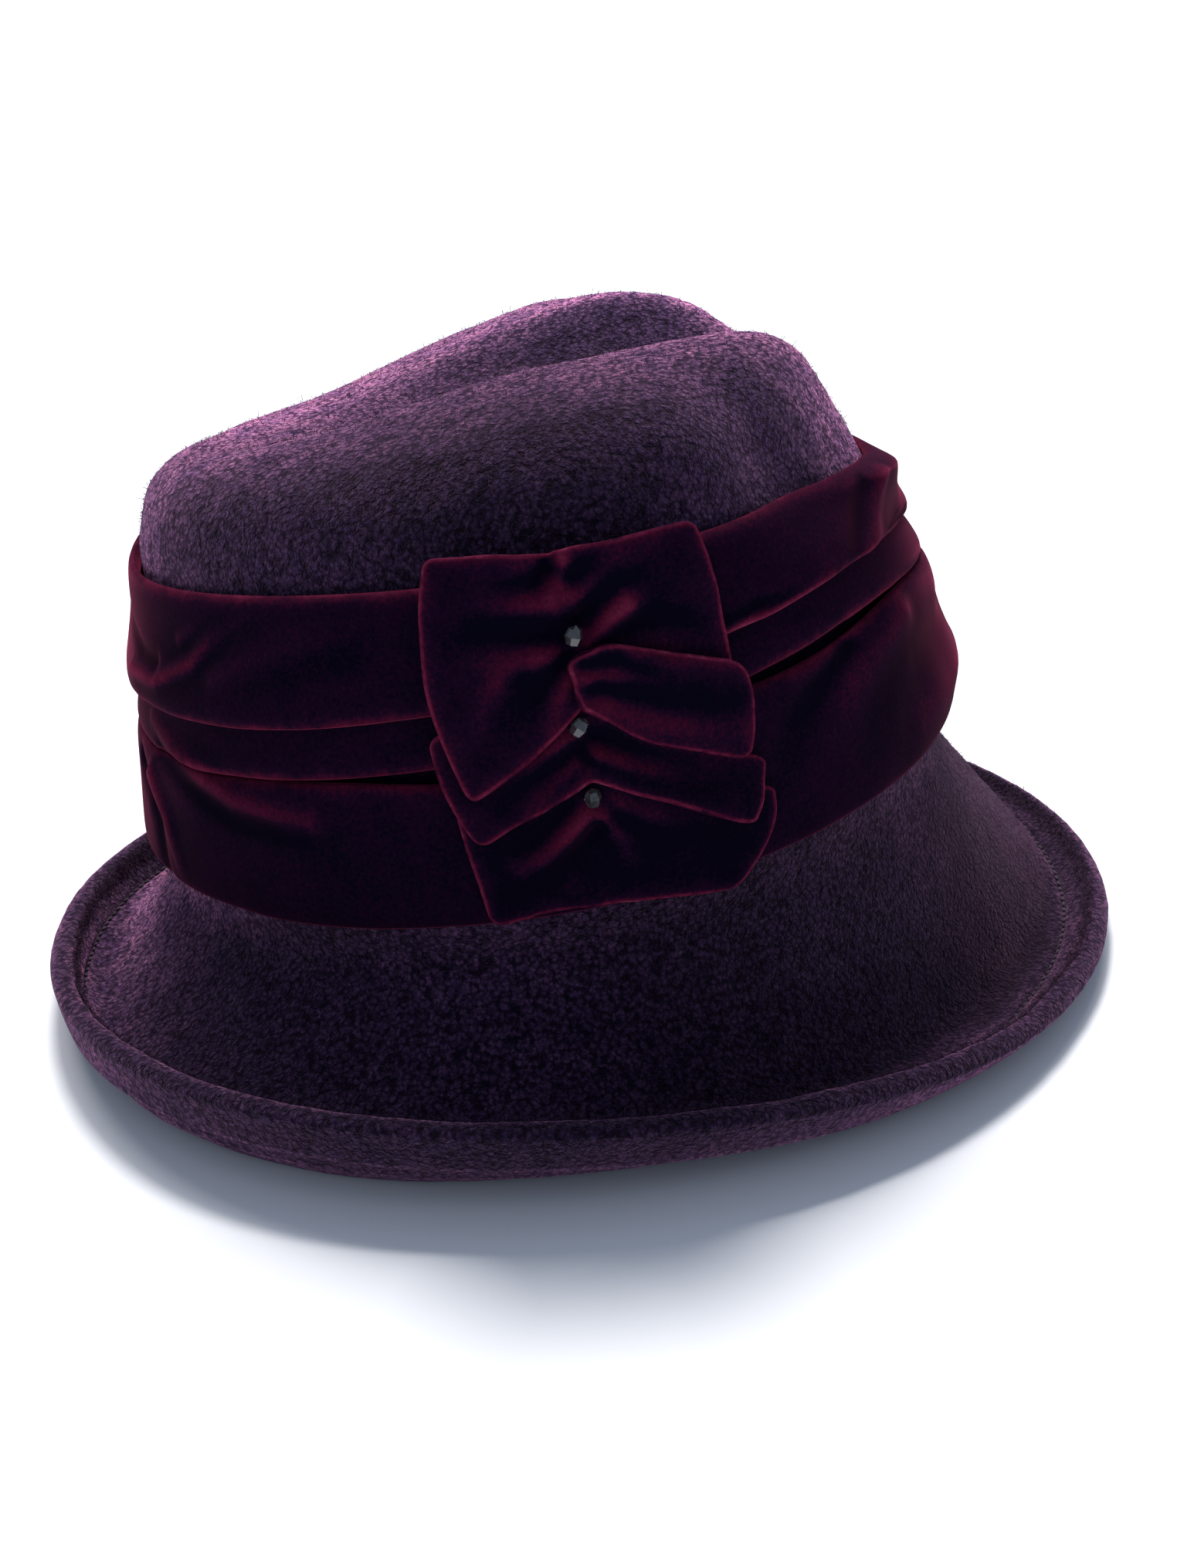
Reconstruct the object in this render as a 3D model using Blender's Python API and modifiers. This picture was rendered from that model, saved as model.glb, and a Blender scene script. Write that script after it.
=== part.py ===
"""Cloche hat of boiled-wool felt, with a draped velvet band, a pleated velvet bow and three beads.

Metres, +Z up. The hat rests on its brim on the plane Z = 0, with its bounding box centred on X = 0
and Y = 0. The wearer faces -Y, and the bow is on the wearer's right, at -X. The crown leans back as
the hat rests, because the brim dips furthest below it in front.

A turn is an angle round the head in degrees: 0 at the front, 90 at the wearer's right, 180 behind.
The head frame has its origin at the middle of the headline, where crown and brim meet, and leans
with the crown. A height is measured up from the headline in that frame, and a stand-off out from
the felt's outer face.
"""

import math

import bmesh
import bpy
from mathutils import Matrix, Vector

# Felt body: the head opening at the headline, and the crown over it
HEAD_LENGTH = 0.196
HEAD_WIDTH = 0.171
FELT = 0.0028
CROWN_HEIGHT = 0.1125
CROWN_LEAN = math.radians(8.0)
HEADLINE_HEIGHT = 0.036

# Dents in the crown: the crease and ridges along its top, and a pinch at each side of its front
TOP_DENT = 0.010
RIDGE_OFFSET = 0.030
PINCH_DEPTH = 0.0026
PINCH_TURN = 56.0
PINCH_WIDTH = 8.0
PINCH_FOOT = 0.60

# Brim: how far it reaches from the headline, how high its lip is, and how it is hemmed
BRIM_REACH = 0.040
LIP_HEIGHT = 0.022
LIP_SWEEP = math.radians(75.0)
HEM_WIDTH = 0.010
HEM_THICKNESS = 0.0050
PRESSED_FLAT = 0.0004

# Velvet band: the strip, where it lies up the crown's wall, and how far its folds puff out
VELVET = 0.0010
BAND_FOOT = 0.0128
BAND_HEIGHT = 0.0717
BAND_PUFF = 0.0078
CLEARANCE = 0.0003

# The dents start a little under the band's top edge, so that the wall it lies on stays plain
DENT_LAP = 0.000125
DENT_FOOT = BAND_FOOT + BAND_HEIGHT - DENT_LAP

# Bow: doubled velvet, gathered at a line up the wearer's right side, over the band. A lift of 1
# stands its edge out by this many thicknesses of the doubled velvet.
BOW_VELVET = 0.0016
BOW_TURN = 93.4
BOW_FOOT = 0.0120
BOW_HEIGHT = 0.0800
BOW_SPREAD = 0.0340
LIFT_LAYERS = 2.5

# Beads: cut stones sewn on up the gathers
BEAD_WIDTH = 0.0038
BEAD_LENGTH = 0.0046
BEAD_SIDES = 6
BEAD_RINGS = 4

COLUMNS_AROUND = 48
FALL_STEPS = 4
LIP_STEPS = 4
BOW_COLUMNS = 10
BOW_ROWS = 4
FULL_TURN = 360.0

# The crown's section from the headline to its crest: the height as a share of the crown's, and the
# reach from the crown's axis as a share of the headline's, in front, behind and at the sides.
CROWN_SECTION = (
    dict(height=0.000, front=1.000, back=1.000, side=1.000),
    dict(height=0.110, front=0.990, back=0.985, side=0.995),
    dict(height=0.420, front=0.945, back=0.930, side=0.965),
    dict(height=0.620, front=0.885, back=0.895, side=0.940),
    dict(height=0.740, front=0.832, back=0.885, side=0.915),
    dict(height=0.830, front=0.780, back=0.865, side=0.880),
    dict(height=0.900, front=0.740, back=0.835, side=0.830),
    dict(height=0.950, front=0.690, back=0.770, side=0.760),
    dict(height=0.980, front=0.620, back=0.660, side=0.670),
    dict(height=0.995, front=0.480, back=0.480, side=0.530),
    dict(height=1.000, front=0.250, back=0.250, side=0.280),
)

# Dents along the top, by the place along the head as a share of its half length, -1 in front: how
# far the left ridge, the crease and the right ridge lie above a plain crown, as shares of a dent.
TOP_DENTS = (
    dict(along=-0.80, left=-0.35, crease=-0.90, right=0.45),
    dict(along=-0.40, left=0.42, crease=-1.10, right=0.12),
    dict(along=0.00, left=-0.15, crease=-0.95, right=0.00),
    dict(along=0.40, left=-0.95, crease=-1.05, right=-0.40),
    dict(along=0.80, left=-0.75, crease=-0.60, right=-0.45),
)

# Brim stations by turn: how far out the lowest bend and the edge lie as shares of the brim's reach,
# how high they lie as shares of the lip's height, and how hollow the fall to the bend is.
BRIM_STATIONS = (
    dict(turn=0, bend_out=1.00, bend_high=0.12, edge_out=1.19, edge_high=0.33, hollow=1.00),
    dict(turn=45, bend_out=0.62, bend_high=0.00, edge_out=1.08, edge_high=0.42, hollow=1.20),
    dict(turn=90, bend_out=0.76, bend_high=0.06, edge_out=1.03, edge_high=0.80, hollow=1.60),
    dict(turn=135, bend_out=0.92, bend_high=0.00, edge_out=1.05, edge_high=0.85, hollow=1.70),
    dict(turn=180, bend_out=0.50, bend_high=0.00, edge_out=0.66, edge_high=0.48, hollow=1.50),
    dict(turn=225, bend_out=0.30, bend_high=0.00, edge_out=0.48, edge_high=0.35, hollow=1.50),
    dict(turn=270, bend_out=0.72, bend_high=0.06, edge_out=0.95, edge_high=0.70, hollow=1.60),
    dict(turn=315, bend_out=1.00, bend_high=0.00, edge_out=1.14, edge_high=0.22, hollow=1.00),
)

# Band stations by turn: its upper edge and the rise of its folds as shares of the band's height
BAND_STATIONS = (
    dict(turn=0, top=0.88, rise=0.10),
    dict(turn=45, top=0.98, rise=0.15),
    dict(turn=90, top=1.00, rise=0.07),
    dict(turn=135, top=1.00, rise=0.00),
    dict(turn=180, top=0.98, rise=-0.02),
    dict(turn=225, top=1.00, rise=0.00),
    dict(turn=270, top=1.00, rise=0.07),
    dict(turn=315, top=0.98, rise=0.15),
)

# The pleated strip's pile face, from its hidden upper end to its hidden lower end: the height as a
# share of the band's, and the stand-off as a share of the puff.
BAND_SECTION = (
    dict(height=0.930, out=0.05),
    dict(height=0.980, out=0.08),
    dict(height=1.000, out=0.24),
    dict(height=0.975, out=0.42),
    dict(height=0.860, out=0.62),
    dict(height=0.740, out=0.86),
    dict(height=0.660, out=1.00),
    dict(height=0.635, out=0.88),
    dict(height=0.650, out=0.72),
    dict(height=0.700, out=0.60),
    dict(height=0.700, out=0.46),
    dict(height=0.640, out=0.44),
    dict(height=0.550, out=0.62),
    dict(height=0.490, out=0.70),
    dict(height=0.465, out=0.62),
    dict(height=0.480, out=0.44),
    dict(height=0.520, out=0.32),
    dict(height=0.520, out=0.17),
    dict(height=0.440, out=0.15),
    dict(height=0.365, out=0.16),
    dict(height=0.365, out=0.32),
    dict(height=0.440, out=0.42),
    dict(height=0.460, out=0.58),
    dict(height=0.430, out=0.76),
    dict(height=0.300, out=0.88),
    dict(height=0.120, out=0.90),
    dict(height=0.020, out=0.80),
    dict(height=0.000, out=0.55),
    dict(height=0.040, out=0.36),
)

# Bow tiers. Each row is a line across the tier, from its upper edge at fall 0 to its lower edge at
# fall 1. Its ends lie back from the gather and forward of it, as shares of the spread. Its height
# at the back end, the middle and the front end is a share of the bow's, and so is its lift.
TOP_TIER = (
    dict(fall=0.0, back=0.81, middle=0.0, front=-0.91, back_high=1.00, middle_high=0.975,
         front_high=0.975, back_lift=0.25, middle_lift=0.0, front_lift=0.25),
    dict(fall=0.5, back=0.93, middle=0.0, front=-1.02, back_high=0.70, middle_high=0.79,
         front_high=0.76, back_lift=0.55, middle_lift=0.0, front_lift=0.30),
    dict(fall=1.0, back=0.765, middle=0.0, front=-1.02, back_high=0.40, middle_high=0.605,
         front_high=0.555, back_lift=1.15, middle_lift=0.0, front_lift=0.20),
)
FRONT_FOLD = (
    dict(fall=0.0, back=0.03, middle=-0.38, front=-1.04, back_high=0.70, middle_high=0.735,
         front_high=0.595, back_lift=0.55, middle_lift=0.9, front_lift=0.80),
    dict(fall=0.5, back=0.03, middle=-0.38, front=-1.10, back_high=0.66, middle_high=0.62,
         front_high=0.47, back_lift=0.60, middle_lift=1.0, front_lift=0.80),
    dict(fall=1.0, back=0.03, middle=-0.38, front=-1.02, back_high=0.62, middle_high=0.485,
         front_high=0.355, back_lift=0.55, middle_lift=0.8, front_lift=0.80),
)
MIDDLE_TIER = (
    dict(fall=0.0, back=0.90, middle=0.0, front=-1.15, back_high=0.57, middle_high=0.555,
         front_high=0.475, back_lift=0.00, middle_lift=0.0, front_lift=0.00),
    dict(fall=0.5, back=0.90, middle=0.0, front=-1.12, back_high=0.44, middle_high=0.48,
         front_high=0.33, back_lift=0.30, middle_lift=0.0, front_lift=0.35),
    dict(fall=1.0, back=0.78, middle=0.0, front=-0.985, back_high=0.27, middle_high=0.405,
         front_high=0.165, back_lift=1.00, middle_lift=0.0, front_lift=1.00),
)
BOTTOM_TIER = (
    dict(fall=0.0, back=0.86, middle=0.0, front=-1.19, back_high=0.32, middle_high=0.368,
         front_high=0.28, back_lift=0.00, middle_lift=0.0, front_lift=0.00),
    dict(fall=0.5, back=0.84, middle=0.0, front=-1.10, back_high=0.16, middle_high=0.22,
         front_high=0.12, back_lift=0.10, middle_lift=0.0, front_lift=0.15),
    dict(fall=1.0, back=0.76, middle=0.0, front=-0.78, back_high=0.03, middle_high=0.045,
         front_high=0.00, back_lift=0.15, middle_lift=0.1, front_lift=0.20),
)
BOW_TIERS = dict(
    bow_top_tier=TOP_TIER,
    bow_front_fold=FRONT_FOLD,
    bow_middle_tier=MIDDLE_TIER,
    bow_bottom_tier=BOTTOM_TIER,
)

# Beads: the place on the gathers as shares of the bow's spread and height, and the tilt in degrees
BEADS = (
    dict(across=-0.03, height=0.780, tilt=10.0),
    dict(across=0.03, height=0.552, tilt=35.0),
    dict(across=0.02, height=0.361, tilt=-6.0),
)


def curve(table, key, at, column, around=False):
    """The column's value on a smooth curve through the table's rows."""
    places = [row[key] for row in table]
    levels = [row[column] for row in table]
    if around:
        at = at % FULL_TURN
        places = [places[-1] - FULL_TURN] + places + [FULL_TURN + place for place in places[:2]]
        levels = [levels[-1]] + levels + levels[:2]
    last = len(places) - 1
    start = next((i for i in range(last) if at <= places[i + 1]), last - 1)

    def slope(i):
        before, after = max(i - 1, 0), min(i + 1, last)
        return (levels[after] - levels[before]) / (places[after] - places[before])

    span = places[start + 1] - places[start]
    t = min(max((at - places[start]) / span, 0.0), 1.0)
    return (
        levels[start] * (1 + 2 * t) * (1 - t) ** 2
        + levels[start + 1] * t * t * (3 - 2 * t)
        + slope(start) * span * t * (1 - t) ** 2
        - slope(start + 1) * span * t * t * (1 - t)
    )


def brim_at(turn, column):
    return curve(BRIM_STATIONS, "turn", turn, column, around=True)


def smooth_step(share):
    share = min(max(share, 0.0), 1.0)
    return share * share * (3 - 2 * share)


def head_frame():
    """From the leaning head frame to the world, with the brim's front and back evenly about Y = 0."""
    setback = BRIM_REACH * (brim_at(0, "edge_out") - brim_at(180, "edge_out")) / 2
    to_place = Matrix.Translation((0, setback, HEADLINE_HEIGHT))
    return to_place @ Matrix.Rotation(-CROWN_LEAN, 4, "X")


def collection(name, shown=True):
    made = bpy.data.collections.new(name)
    made.hide_render = not shown
    bpy.context.scene.collection.children.link(made)
    return made


def material(name, colour, roughness, metallic=0.0):
    made = bpy.data.materials.new(name)
    made.use_nodes = True
    shader = made.node_tree.nodes["Principled BSDF"]
    shader.inputs["Base Color"].default_value = (*colour, 1.0)
    shader.inputs["Roughness"].default_value = roughness
    shader.inputs["Metallic"].default_value = metallic
    return made


def turns():
    return [FULL_TURN * i / COLUMNS_AROUND for i in range(COLUMNS_AROUND)]


def head_oval(turn, share=1.0, standoff=0.0):
    """A point on the felt's outer oval, and the oval's outward normal there, in the head frame."""
    angle = math.radians(turn)
    length = HEAD_LENGTH / 2 + FELT
    width = HEAD_WIDTH / 2 + FELT
    point = Vector((-width * math.sin(angle), -length * math.cos(angle), 0)) * share
    normal = Vector((-length * math.sin(angle), -width * math.cos(angle), 0)).normalized()
    return point + normal * standoff, normal


def crown_point(turn, height, standoff=0.0):
    """A point at a height and a stand-off from the crown's outer face, in the head frame."""
    level = height / CROWN_HEIGHT
    ahead = math.cos(math.radians(turn))
    end = curve(CROWN_SECTION, "height", level, "front" if ahead > 0 else "back")
    side = curve(CROWN_SECTION, "height", level, "side")
    away = (turn + FULL_TURN / 2) % FULL_TURN - FULL_TURN / 2
    pinched = math.exp(-(((abs(away) - PINCH_TURN) / PINCH_WIDTH) ** 2))
    pinched *= PINCH_DEPTH * smooth_step((level - PINCH_FOOT) / (1 - PINCH_FOOT) * 2)
    point, _ = head_oval(turn, end * ahead**2 + side * (1 - ahead**2), standoff - pinched)
    point.z = height
    return point


def dented(point):
    """Raises and lowers a point of the crown to the ridges and the crease along its top."""
    along = point.y / (HEAD_LENGTH / 2)
    ridge = curve(TOP_DENTS, "along", along, "left" if point.x > 0 else "right")
    crease = curve(TOP_DENTS, "along", along, "crease")
    depth = math.sqrt(max(0.0, (point.z - DENT_FOOT) / (CROWN_HEIGHT - DENT_FOOT)))
    sideways = smooth_step(abs(point.x) / RIDGE_OFFSET)
    shift = TOP_DENT * depth * (crease + (ridge - crease) * sideways)
    return point + Vector((0, 0, shift))


def brim_profile(turn):
    """World points on the brim's upper face at this turn, from its edge in to the headline."""
    base, normal = head_oval(turn)
    base = head_frame() @ base
    bend_out = BRIM_REACH * brim_at(turn, "bend_out")
    bend_high = FELT - PRESSED_FLAT + LIP_HEIGHT * brim_at(turn, "bend_high")
    lip_out = BRIM_REACH * brim_at(turn, "edge_out") - bend_out
    lip_high = FELT + LIP_HEIGHT * brim_at(turn, "edge_high") - bend_high
    hollow = brim_at(turn, "hollow")
    bend = Vector((base.x, base.y, bend_high)) + normal * bend_out

    points = []
    for step in range(LIP_STEPS, 0, -1):
        angle = LIP_SWEEP * step / LIP_STEPS
        out = lip_out * math.sin(angle) / math.sin(LIP_SWEEP)
        high = lip_high * (1 - math.cos(angle)) / (1 - math.cos(LIP_SWEEP))
        points.append(bend + normal * out + Vector((0, 0, high)))
    for step in range(FALL_STEPS, 0, -1):
        t = step / FALL_STEPS
        fallen = 1 - (1 - t) ** hollow
        fall = Vector((0, 0, (bend_high - base.z) * fallen))
        points.append(base + normal * bend_out * t + fall)
    return points


def felt_columns():
    """One column of world points for each turn, from the brim's edge up to the crown's last ring."""
    to_world = head_frame()
    heights = [CROWN_HEIGHT * row["height"] for row in CROWN_SECTION]
    columns = []
    for turn in turns():
        crown = [to_world @ dented(crown_point(turn, height)) for height in heights]
        columns.append(brim_profile(turn) + crown)
    return columns


def surface(name, columns, closed=True, closing_point=None):
    """A mesh object skinned over columns of points, which go round the head where it is closed."""
    mesh = bmesh.new()
    rows = [[mesh.verts.new(point) for point in column] for column in columns]
    pairs = list(zip(rows, rows[1:])) + ([(rows[-1], rows[0])] if closed else [])
    last = len(rows[0]) - 1
    for here, beside in pairs:
        for k in range(last):
            mesh.faces.new((here[k], here[k + 1], beside[k + 1], beside[k]))
    if closing_point is not None:
        centre = mesh.verts.new(closing_point)
        for here, beside in pairs:
            mesh.faces.new((here[last], centre, beside[last]))
    data = bpy.data.meshes.new(name)
    mesh.to_mesh(data)
    mesh.free()
    return bpy.data.objects.new(name, data)


def finish(made, into, look):
    into.objects.link(made)
    made.data.materials.append(look)
    made.data.shade_smooth()
    made.data.set_sharp_from_angle(angle=math.radians(50))
    return made


def thicken(made, thickness):
    solidify = made.modifiers.new("thickness", "SOLIDIFY")
    solidify.thickness = thickness
    solidify.offset = -1
    solidify.use_even_offset = True
    return solidify


def felt_body(parts, cutters, look):
    columns = felt_columns()
    crest = dented(Vector((0, 0, CROWN_HEIGHT)))
    body = surface("felt_body", columns, closing_point=head_frame() @ crest)
    hem = body.vertex_groups.new(name="hem")
    thin = FELT / HEM_THICKNESS
    ring = len(columns[0])
    for i, column in enumerate(columns):
        run = 0.0
        for k, point in enumerate(column):
            run += (point - column[k - 1]).length if k else 0.0
            hem.add([i * ring + k], 1.0 if run < HEM_WIDTH else thin, "REPLACE")
    hem.add([len(columns) * ring], thin, "REPLACE")
    solidify = thicken(body, HEM_THICKNESS)
    solidify.vertex_group = hem.name
    finish(body, parts, look)
    press_flat(body, cutters)


def press_flat(body, cutters):
    """Takes off what would reach below the surface that the hat rests on."""
    size = HEAD_LENGTH * 3
    bpy.ops.mesh.primitive_cube_add(size=size, location=(0, 0, -size / 2))
    table = bpy.context.object
    table.name = "table_cutter"
    table.hide_render = True
    table.display_type = "WIRE"
    for owner in list(table.users_collection):
        owner.objects.unlink(table)
    cutters.objects.link(table)
    cut = body.modifiers.new("pressed flat", "BOOLEAN")
    cut.operation = "DIFFERENCE"
    cut.object = table


def velvet_band(parts, look):
    to_world = head_frame()
    columns = []
    for turn in turns():
        top = curve(BAND_STATIONS, "turn", turn, "top", around=True)
        rise = curve(BAND_STATIONS, "turn", turn, "rise", around=True)
        column = []
        for row in reversed(BAND_SECTION):
            share = row["height"] * top + rise * 4 * row["height"] * (1 - row["height"])
            standoff = CLEARANCE + BAND_PUFF * row["out"]
            column.append(to_world @ crown_point(turn, BAND_FOOT + BAND_HEIGHT * share, standoff))
        columns.append(column)
    band = surface("velvet_band", columns)
    thicken(band, VELVET)
    finish(band, parts, look)


def bow_base():
    """The stand-off of the bow's outer face where it lies closest to the band."""
    return CLEARANCE + BAND_PUFF + CLEARANCE + BOW_VELVET


def bow_point(across, height, standoff):
    """A point on the bow: across from its gather towards the back, and up, as shares of its size."""
    per_degree = math.radians(1) * (HEAD_LENGTH / 2 + FELT + BAND_PUFF)
    turn = BOW_TURN + across * BOW_SPREAD / per_degree
    return crown_point(turn, BOW_FOOT + BOW_HEIGHT * height, standoff)


def bow_tier(name, tier, parts, look):
    to_world = head_frame()
    columns = []
    for i in range(BOW_COLUMNS + 1):
        side = 1 - 2 * i / BOW_COLUMNS
        end = "back" if side > 0 else "front"
        column = []
        for k in range(BOW_ROWS, -1, -1):
            line = {key: curve(tier, "fall", k / BOW_ROWS, key) for key in tier[0]}
            share = abs(side)
            across = line["middle"] + (line[end] - line["middle"]) * share
            height = line["middle_high"] + (line[end + "_high"] - line["middle_high"]) * share
            spread = 1 - (1 - share) ** 3
            lift = line["middle_lift"] + (line[end + "_lift"] - line["middle_lift"]) * spread
            standoff = bow_base() + LIFT_LAYERS * BOW_VELVET * lift
            column.append(to_world @ bow_point(across, height, standoff))
        columns.append(column)
    made = surface(name, columns[::-1], closed=False)
    thicken(made, BOW_VELVET)
    finish(made, parts, look)


def bead(number, row, parts, look):
    """A cut bead, its long axis up the gathers, seated on the velvet with a small clearance."""
    standoff = bow_base() + CLEARANCE + BEAD_WIDTH / 2
    centre = head_frame() @ bow_point(row["across"], row["height"], standoff)
    mesh = bmesh.new()
    bmesh.ops.create_uvsphere(mesh, u_segments=BEAD_SIDES, v_segments=BEAD_RINGS, radius=0.5)
    bmesh.ops.scale(mesh, vec=(BEAD_WIDTH, BEAD_WIDTH, BEAD_LENGTH), verts=mesh.verts)
    data = bpy.data.meshes.new(f"bead_{number}")
    mesh.to_mesh(data)
    mesh.free()
    data.materials.append(look)
    made = bpy.data.objects.new(f"bead_{number}", data)
    made.location = centre
    made.rotation_euler = (math.radians(row["tilt"]), 0, 0)
    parts.objects.link(made)


def main():
    for old in list(bpy.data.objects):
        bpy.data.objects.remove(old)
    parts = collection("cloche_hat")
    cutters = collection("cutters", shown=False)
    felt = material("boiled wool", (0.055, 0.026, 0.045), 0.95)
    velvet = material("velvet", (0.090, 0.008, 0.028), 0.80)
    cut_stone = material("cut bead", (0.040, 0.042, 0.048), 0.20)
    felt_body(parts, cutters, felt)
    velvet_band(parts, velvet)
    for name, tier in BOW_TIERS.items():
        bow_tier(name, tier, parts, velvet)
    for number, row in enumerate(BEADS, start=1):
        bead(number, row, parts, cut_stone)


main()
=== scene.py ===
"""Looks of the cloche hat: boiled-wool felt, a draped velvet band, and a pleated velvet bow with beads.

Metres, +Z up, the wearer's front at -Y and the bow at -X, as in the model. A turn is an angle round
the head in degrees, 0 in front and 90 at the wearer's right. The head frame leans with the crown.
The named sizes and tables repeat the model's, and finer ones add what is too small for it.
"""

import math

import bpy
import numpy as np
from mathutils import Matrix, Vector
from numpy.linalg import norm

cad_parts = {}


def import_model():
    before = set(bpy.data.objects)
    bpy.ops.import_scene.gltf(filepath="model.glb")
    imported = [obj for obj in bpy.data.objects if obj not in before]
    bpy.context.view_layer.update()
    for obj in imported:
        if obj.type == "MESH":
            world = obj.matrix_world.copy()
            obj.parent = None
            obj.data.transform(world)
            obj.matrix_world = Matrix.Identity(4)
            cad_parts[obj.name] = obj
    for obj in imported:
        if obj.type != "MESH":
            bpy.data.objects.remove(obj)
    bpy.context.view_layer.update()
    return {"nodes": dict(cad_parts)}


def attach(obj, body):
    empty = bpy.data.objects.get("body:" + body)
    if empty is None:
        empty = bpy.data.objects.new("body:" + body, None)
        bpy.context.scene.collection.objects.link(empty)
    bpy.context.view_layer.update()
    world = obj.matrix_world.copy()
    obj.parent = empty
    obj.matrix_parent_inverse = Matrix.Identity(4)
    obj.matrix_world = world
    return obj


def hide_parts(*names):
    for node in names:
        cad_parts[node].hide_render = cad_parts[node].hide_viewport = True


FULL_TURN = 360.0


def table(columns, *rows):
    """Rows of numbers, each as a dictionary with these columns."""
    return [dict(zip(columns.split(), row)) for row in rows]


# Sizes of the model
HEAD_LENGTH = 0.196
HEAD_WIDTH = 0.171
FELT = 0.0028
CROWN_HEIGHT = 0.1125
CROWN_LEAN = math.radians(8.0)
HEADLINE_HEIGHT = 0.036
TOP_DENT = 0.010
RIDGE_OFFSET = 0.030
PINCH_DEPTH = 0.0026
PINCH_TURN = 56.0
PINCH_WIDTH = 8.0
PINCH_FOOT = 0.60
BRIM_REACH = 0.040
LIP_HEIGHT = 0.022
LIP_SWEEP = math.radians(75.0)
HEM_WIDTH = 0.010
HEM_THICKNESS = 0.0050
PRESSED_FLAT = 0.0004
BAND_FOOT = 0.0128
BAND_HEIGHT = 0.0717
BAND_PUFF = 0.0078
CLEARANCE = 0.0003
DENT_LAP = 0.000125
DENT_FOOT = BAND_FOOT + BAND_HEIGHT - DENT_LAP
BOW_VELVET = 0.0016
BOW_TURN = 93.4
BOW_FOOT = 0.0120
BOW_HEIGHT = 0.0800
BOW_SPREAD = 0.0340
LIFT_LAYERS = 2.5
BEAD_WIDTH = 0.0038

CROWN_SECTION = table(
    "height front back side",
    (0.0, 1.0, 1.0, 1.0),
    (0.11, 0.99, 0.985, 0.995),
    (0.42, 0.945, 0.93, 0.965),
    (0.62, 0.885, 0.895, 0.94),
    (0.74, 0.832, 0.885, 0.915),
    (0.83, 0.78, 0.865, 0.88),
    (0.9, 0.74, 0.835, 0.83),
    (0.95, 0.69, 0.77, 0.76),
    (0.98, 0.62, 0.66, 0.67),
    (0.995, 0.48, 0.48, 0.53),
    (1.0, 0.25, 0.25, 0.28),
)
TOP_DENTS = table(
    "along left crease right",
    (-0.8, -0.35, -0.9, 0.45),
    (-0.4, 0.42, -1.1, 0.12),
    (0.0, -0.15, -0.95, 0.0),
    (0.4, -0.95, -1.05, -0.4),
    (0.8, -0.75, -0.6, -0.45),
)
BRIM_STATIONS = table(
    "turn bend_out bend_high edge_out edge_high hollow",
    (0, 1.0, 0.12, 1.19, 0.33, 1.0),
    (45, 0.62, 0.0, 1.08, 0.42, 1.2),
    (90, 0.76, 0.06, 1.03, 0.8, 1.6),
    (135, 0.92, 0.0, 1.05, 0.85, 1.7),
    (180, 0.5, 0.0, 0.66, 0.48, 1.5),
    (225, 0.3, 0.0, 0.48, 0.35, 1.5),
    (270, 0.72, 0.06, 0.95, 0.7, 1.6),
    (315, 1.0, 0.0, 1.14, 0.22, 1.0),
)
BAND_STATIONS = table(
    "turn top rise",
    (0, 0.88, 0.1),
    (45, 0.98, 0.15),
    (90, 1.0, 0.07),
    (135, 1.0, 0.0),
    (180, 0.98, -0.02),
    (225, 1.0, 0.0),
    (270, 1.0, 0.07),
    (315, 0.98, 0.15),
)
# The strip's pile face: thousandths of the band's height, and stand-off in hundredths of its puff
SECTION_UNITS = (1000, 100)
BAND_SECTION = (
    (930, 5), (980, 8), (1000, 24), (975, 42), (860, 62), (740, 86), (660, 100), (635, 88),
    (650, 72), (700, 60), (700, 46), (640, 44), (550, 62), (490, 70), (465, 62), (480, 44),
    (520, 32), (520, 17), (440, 15), (365, 16), (365, 32), (440, 42), (460, 58), (430, 76),
    (300, 88), (120, 90), (20, 80), (0, 55), (40, 36),
)
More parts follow.
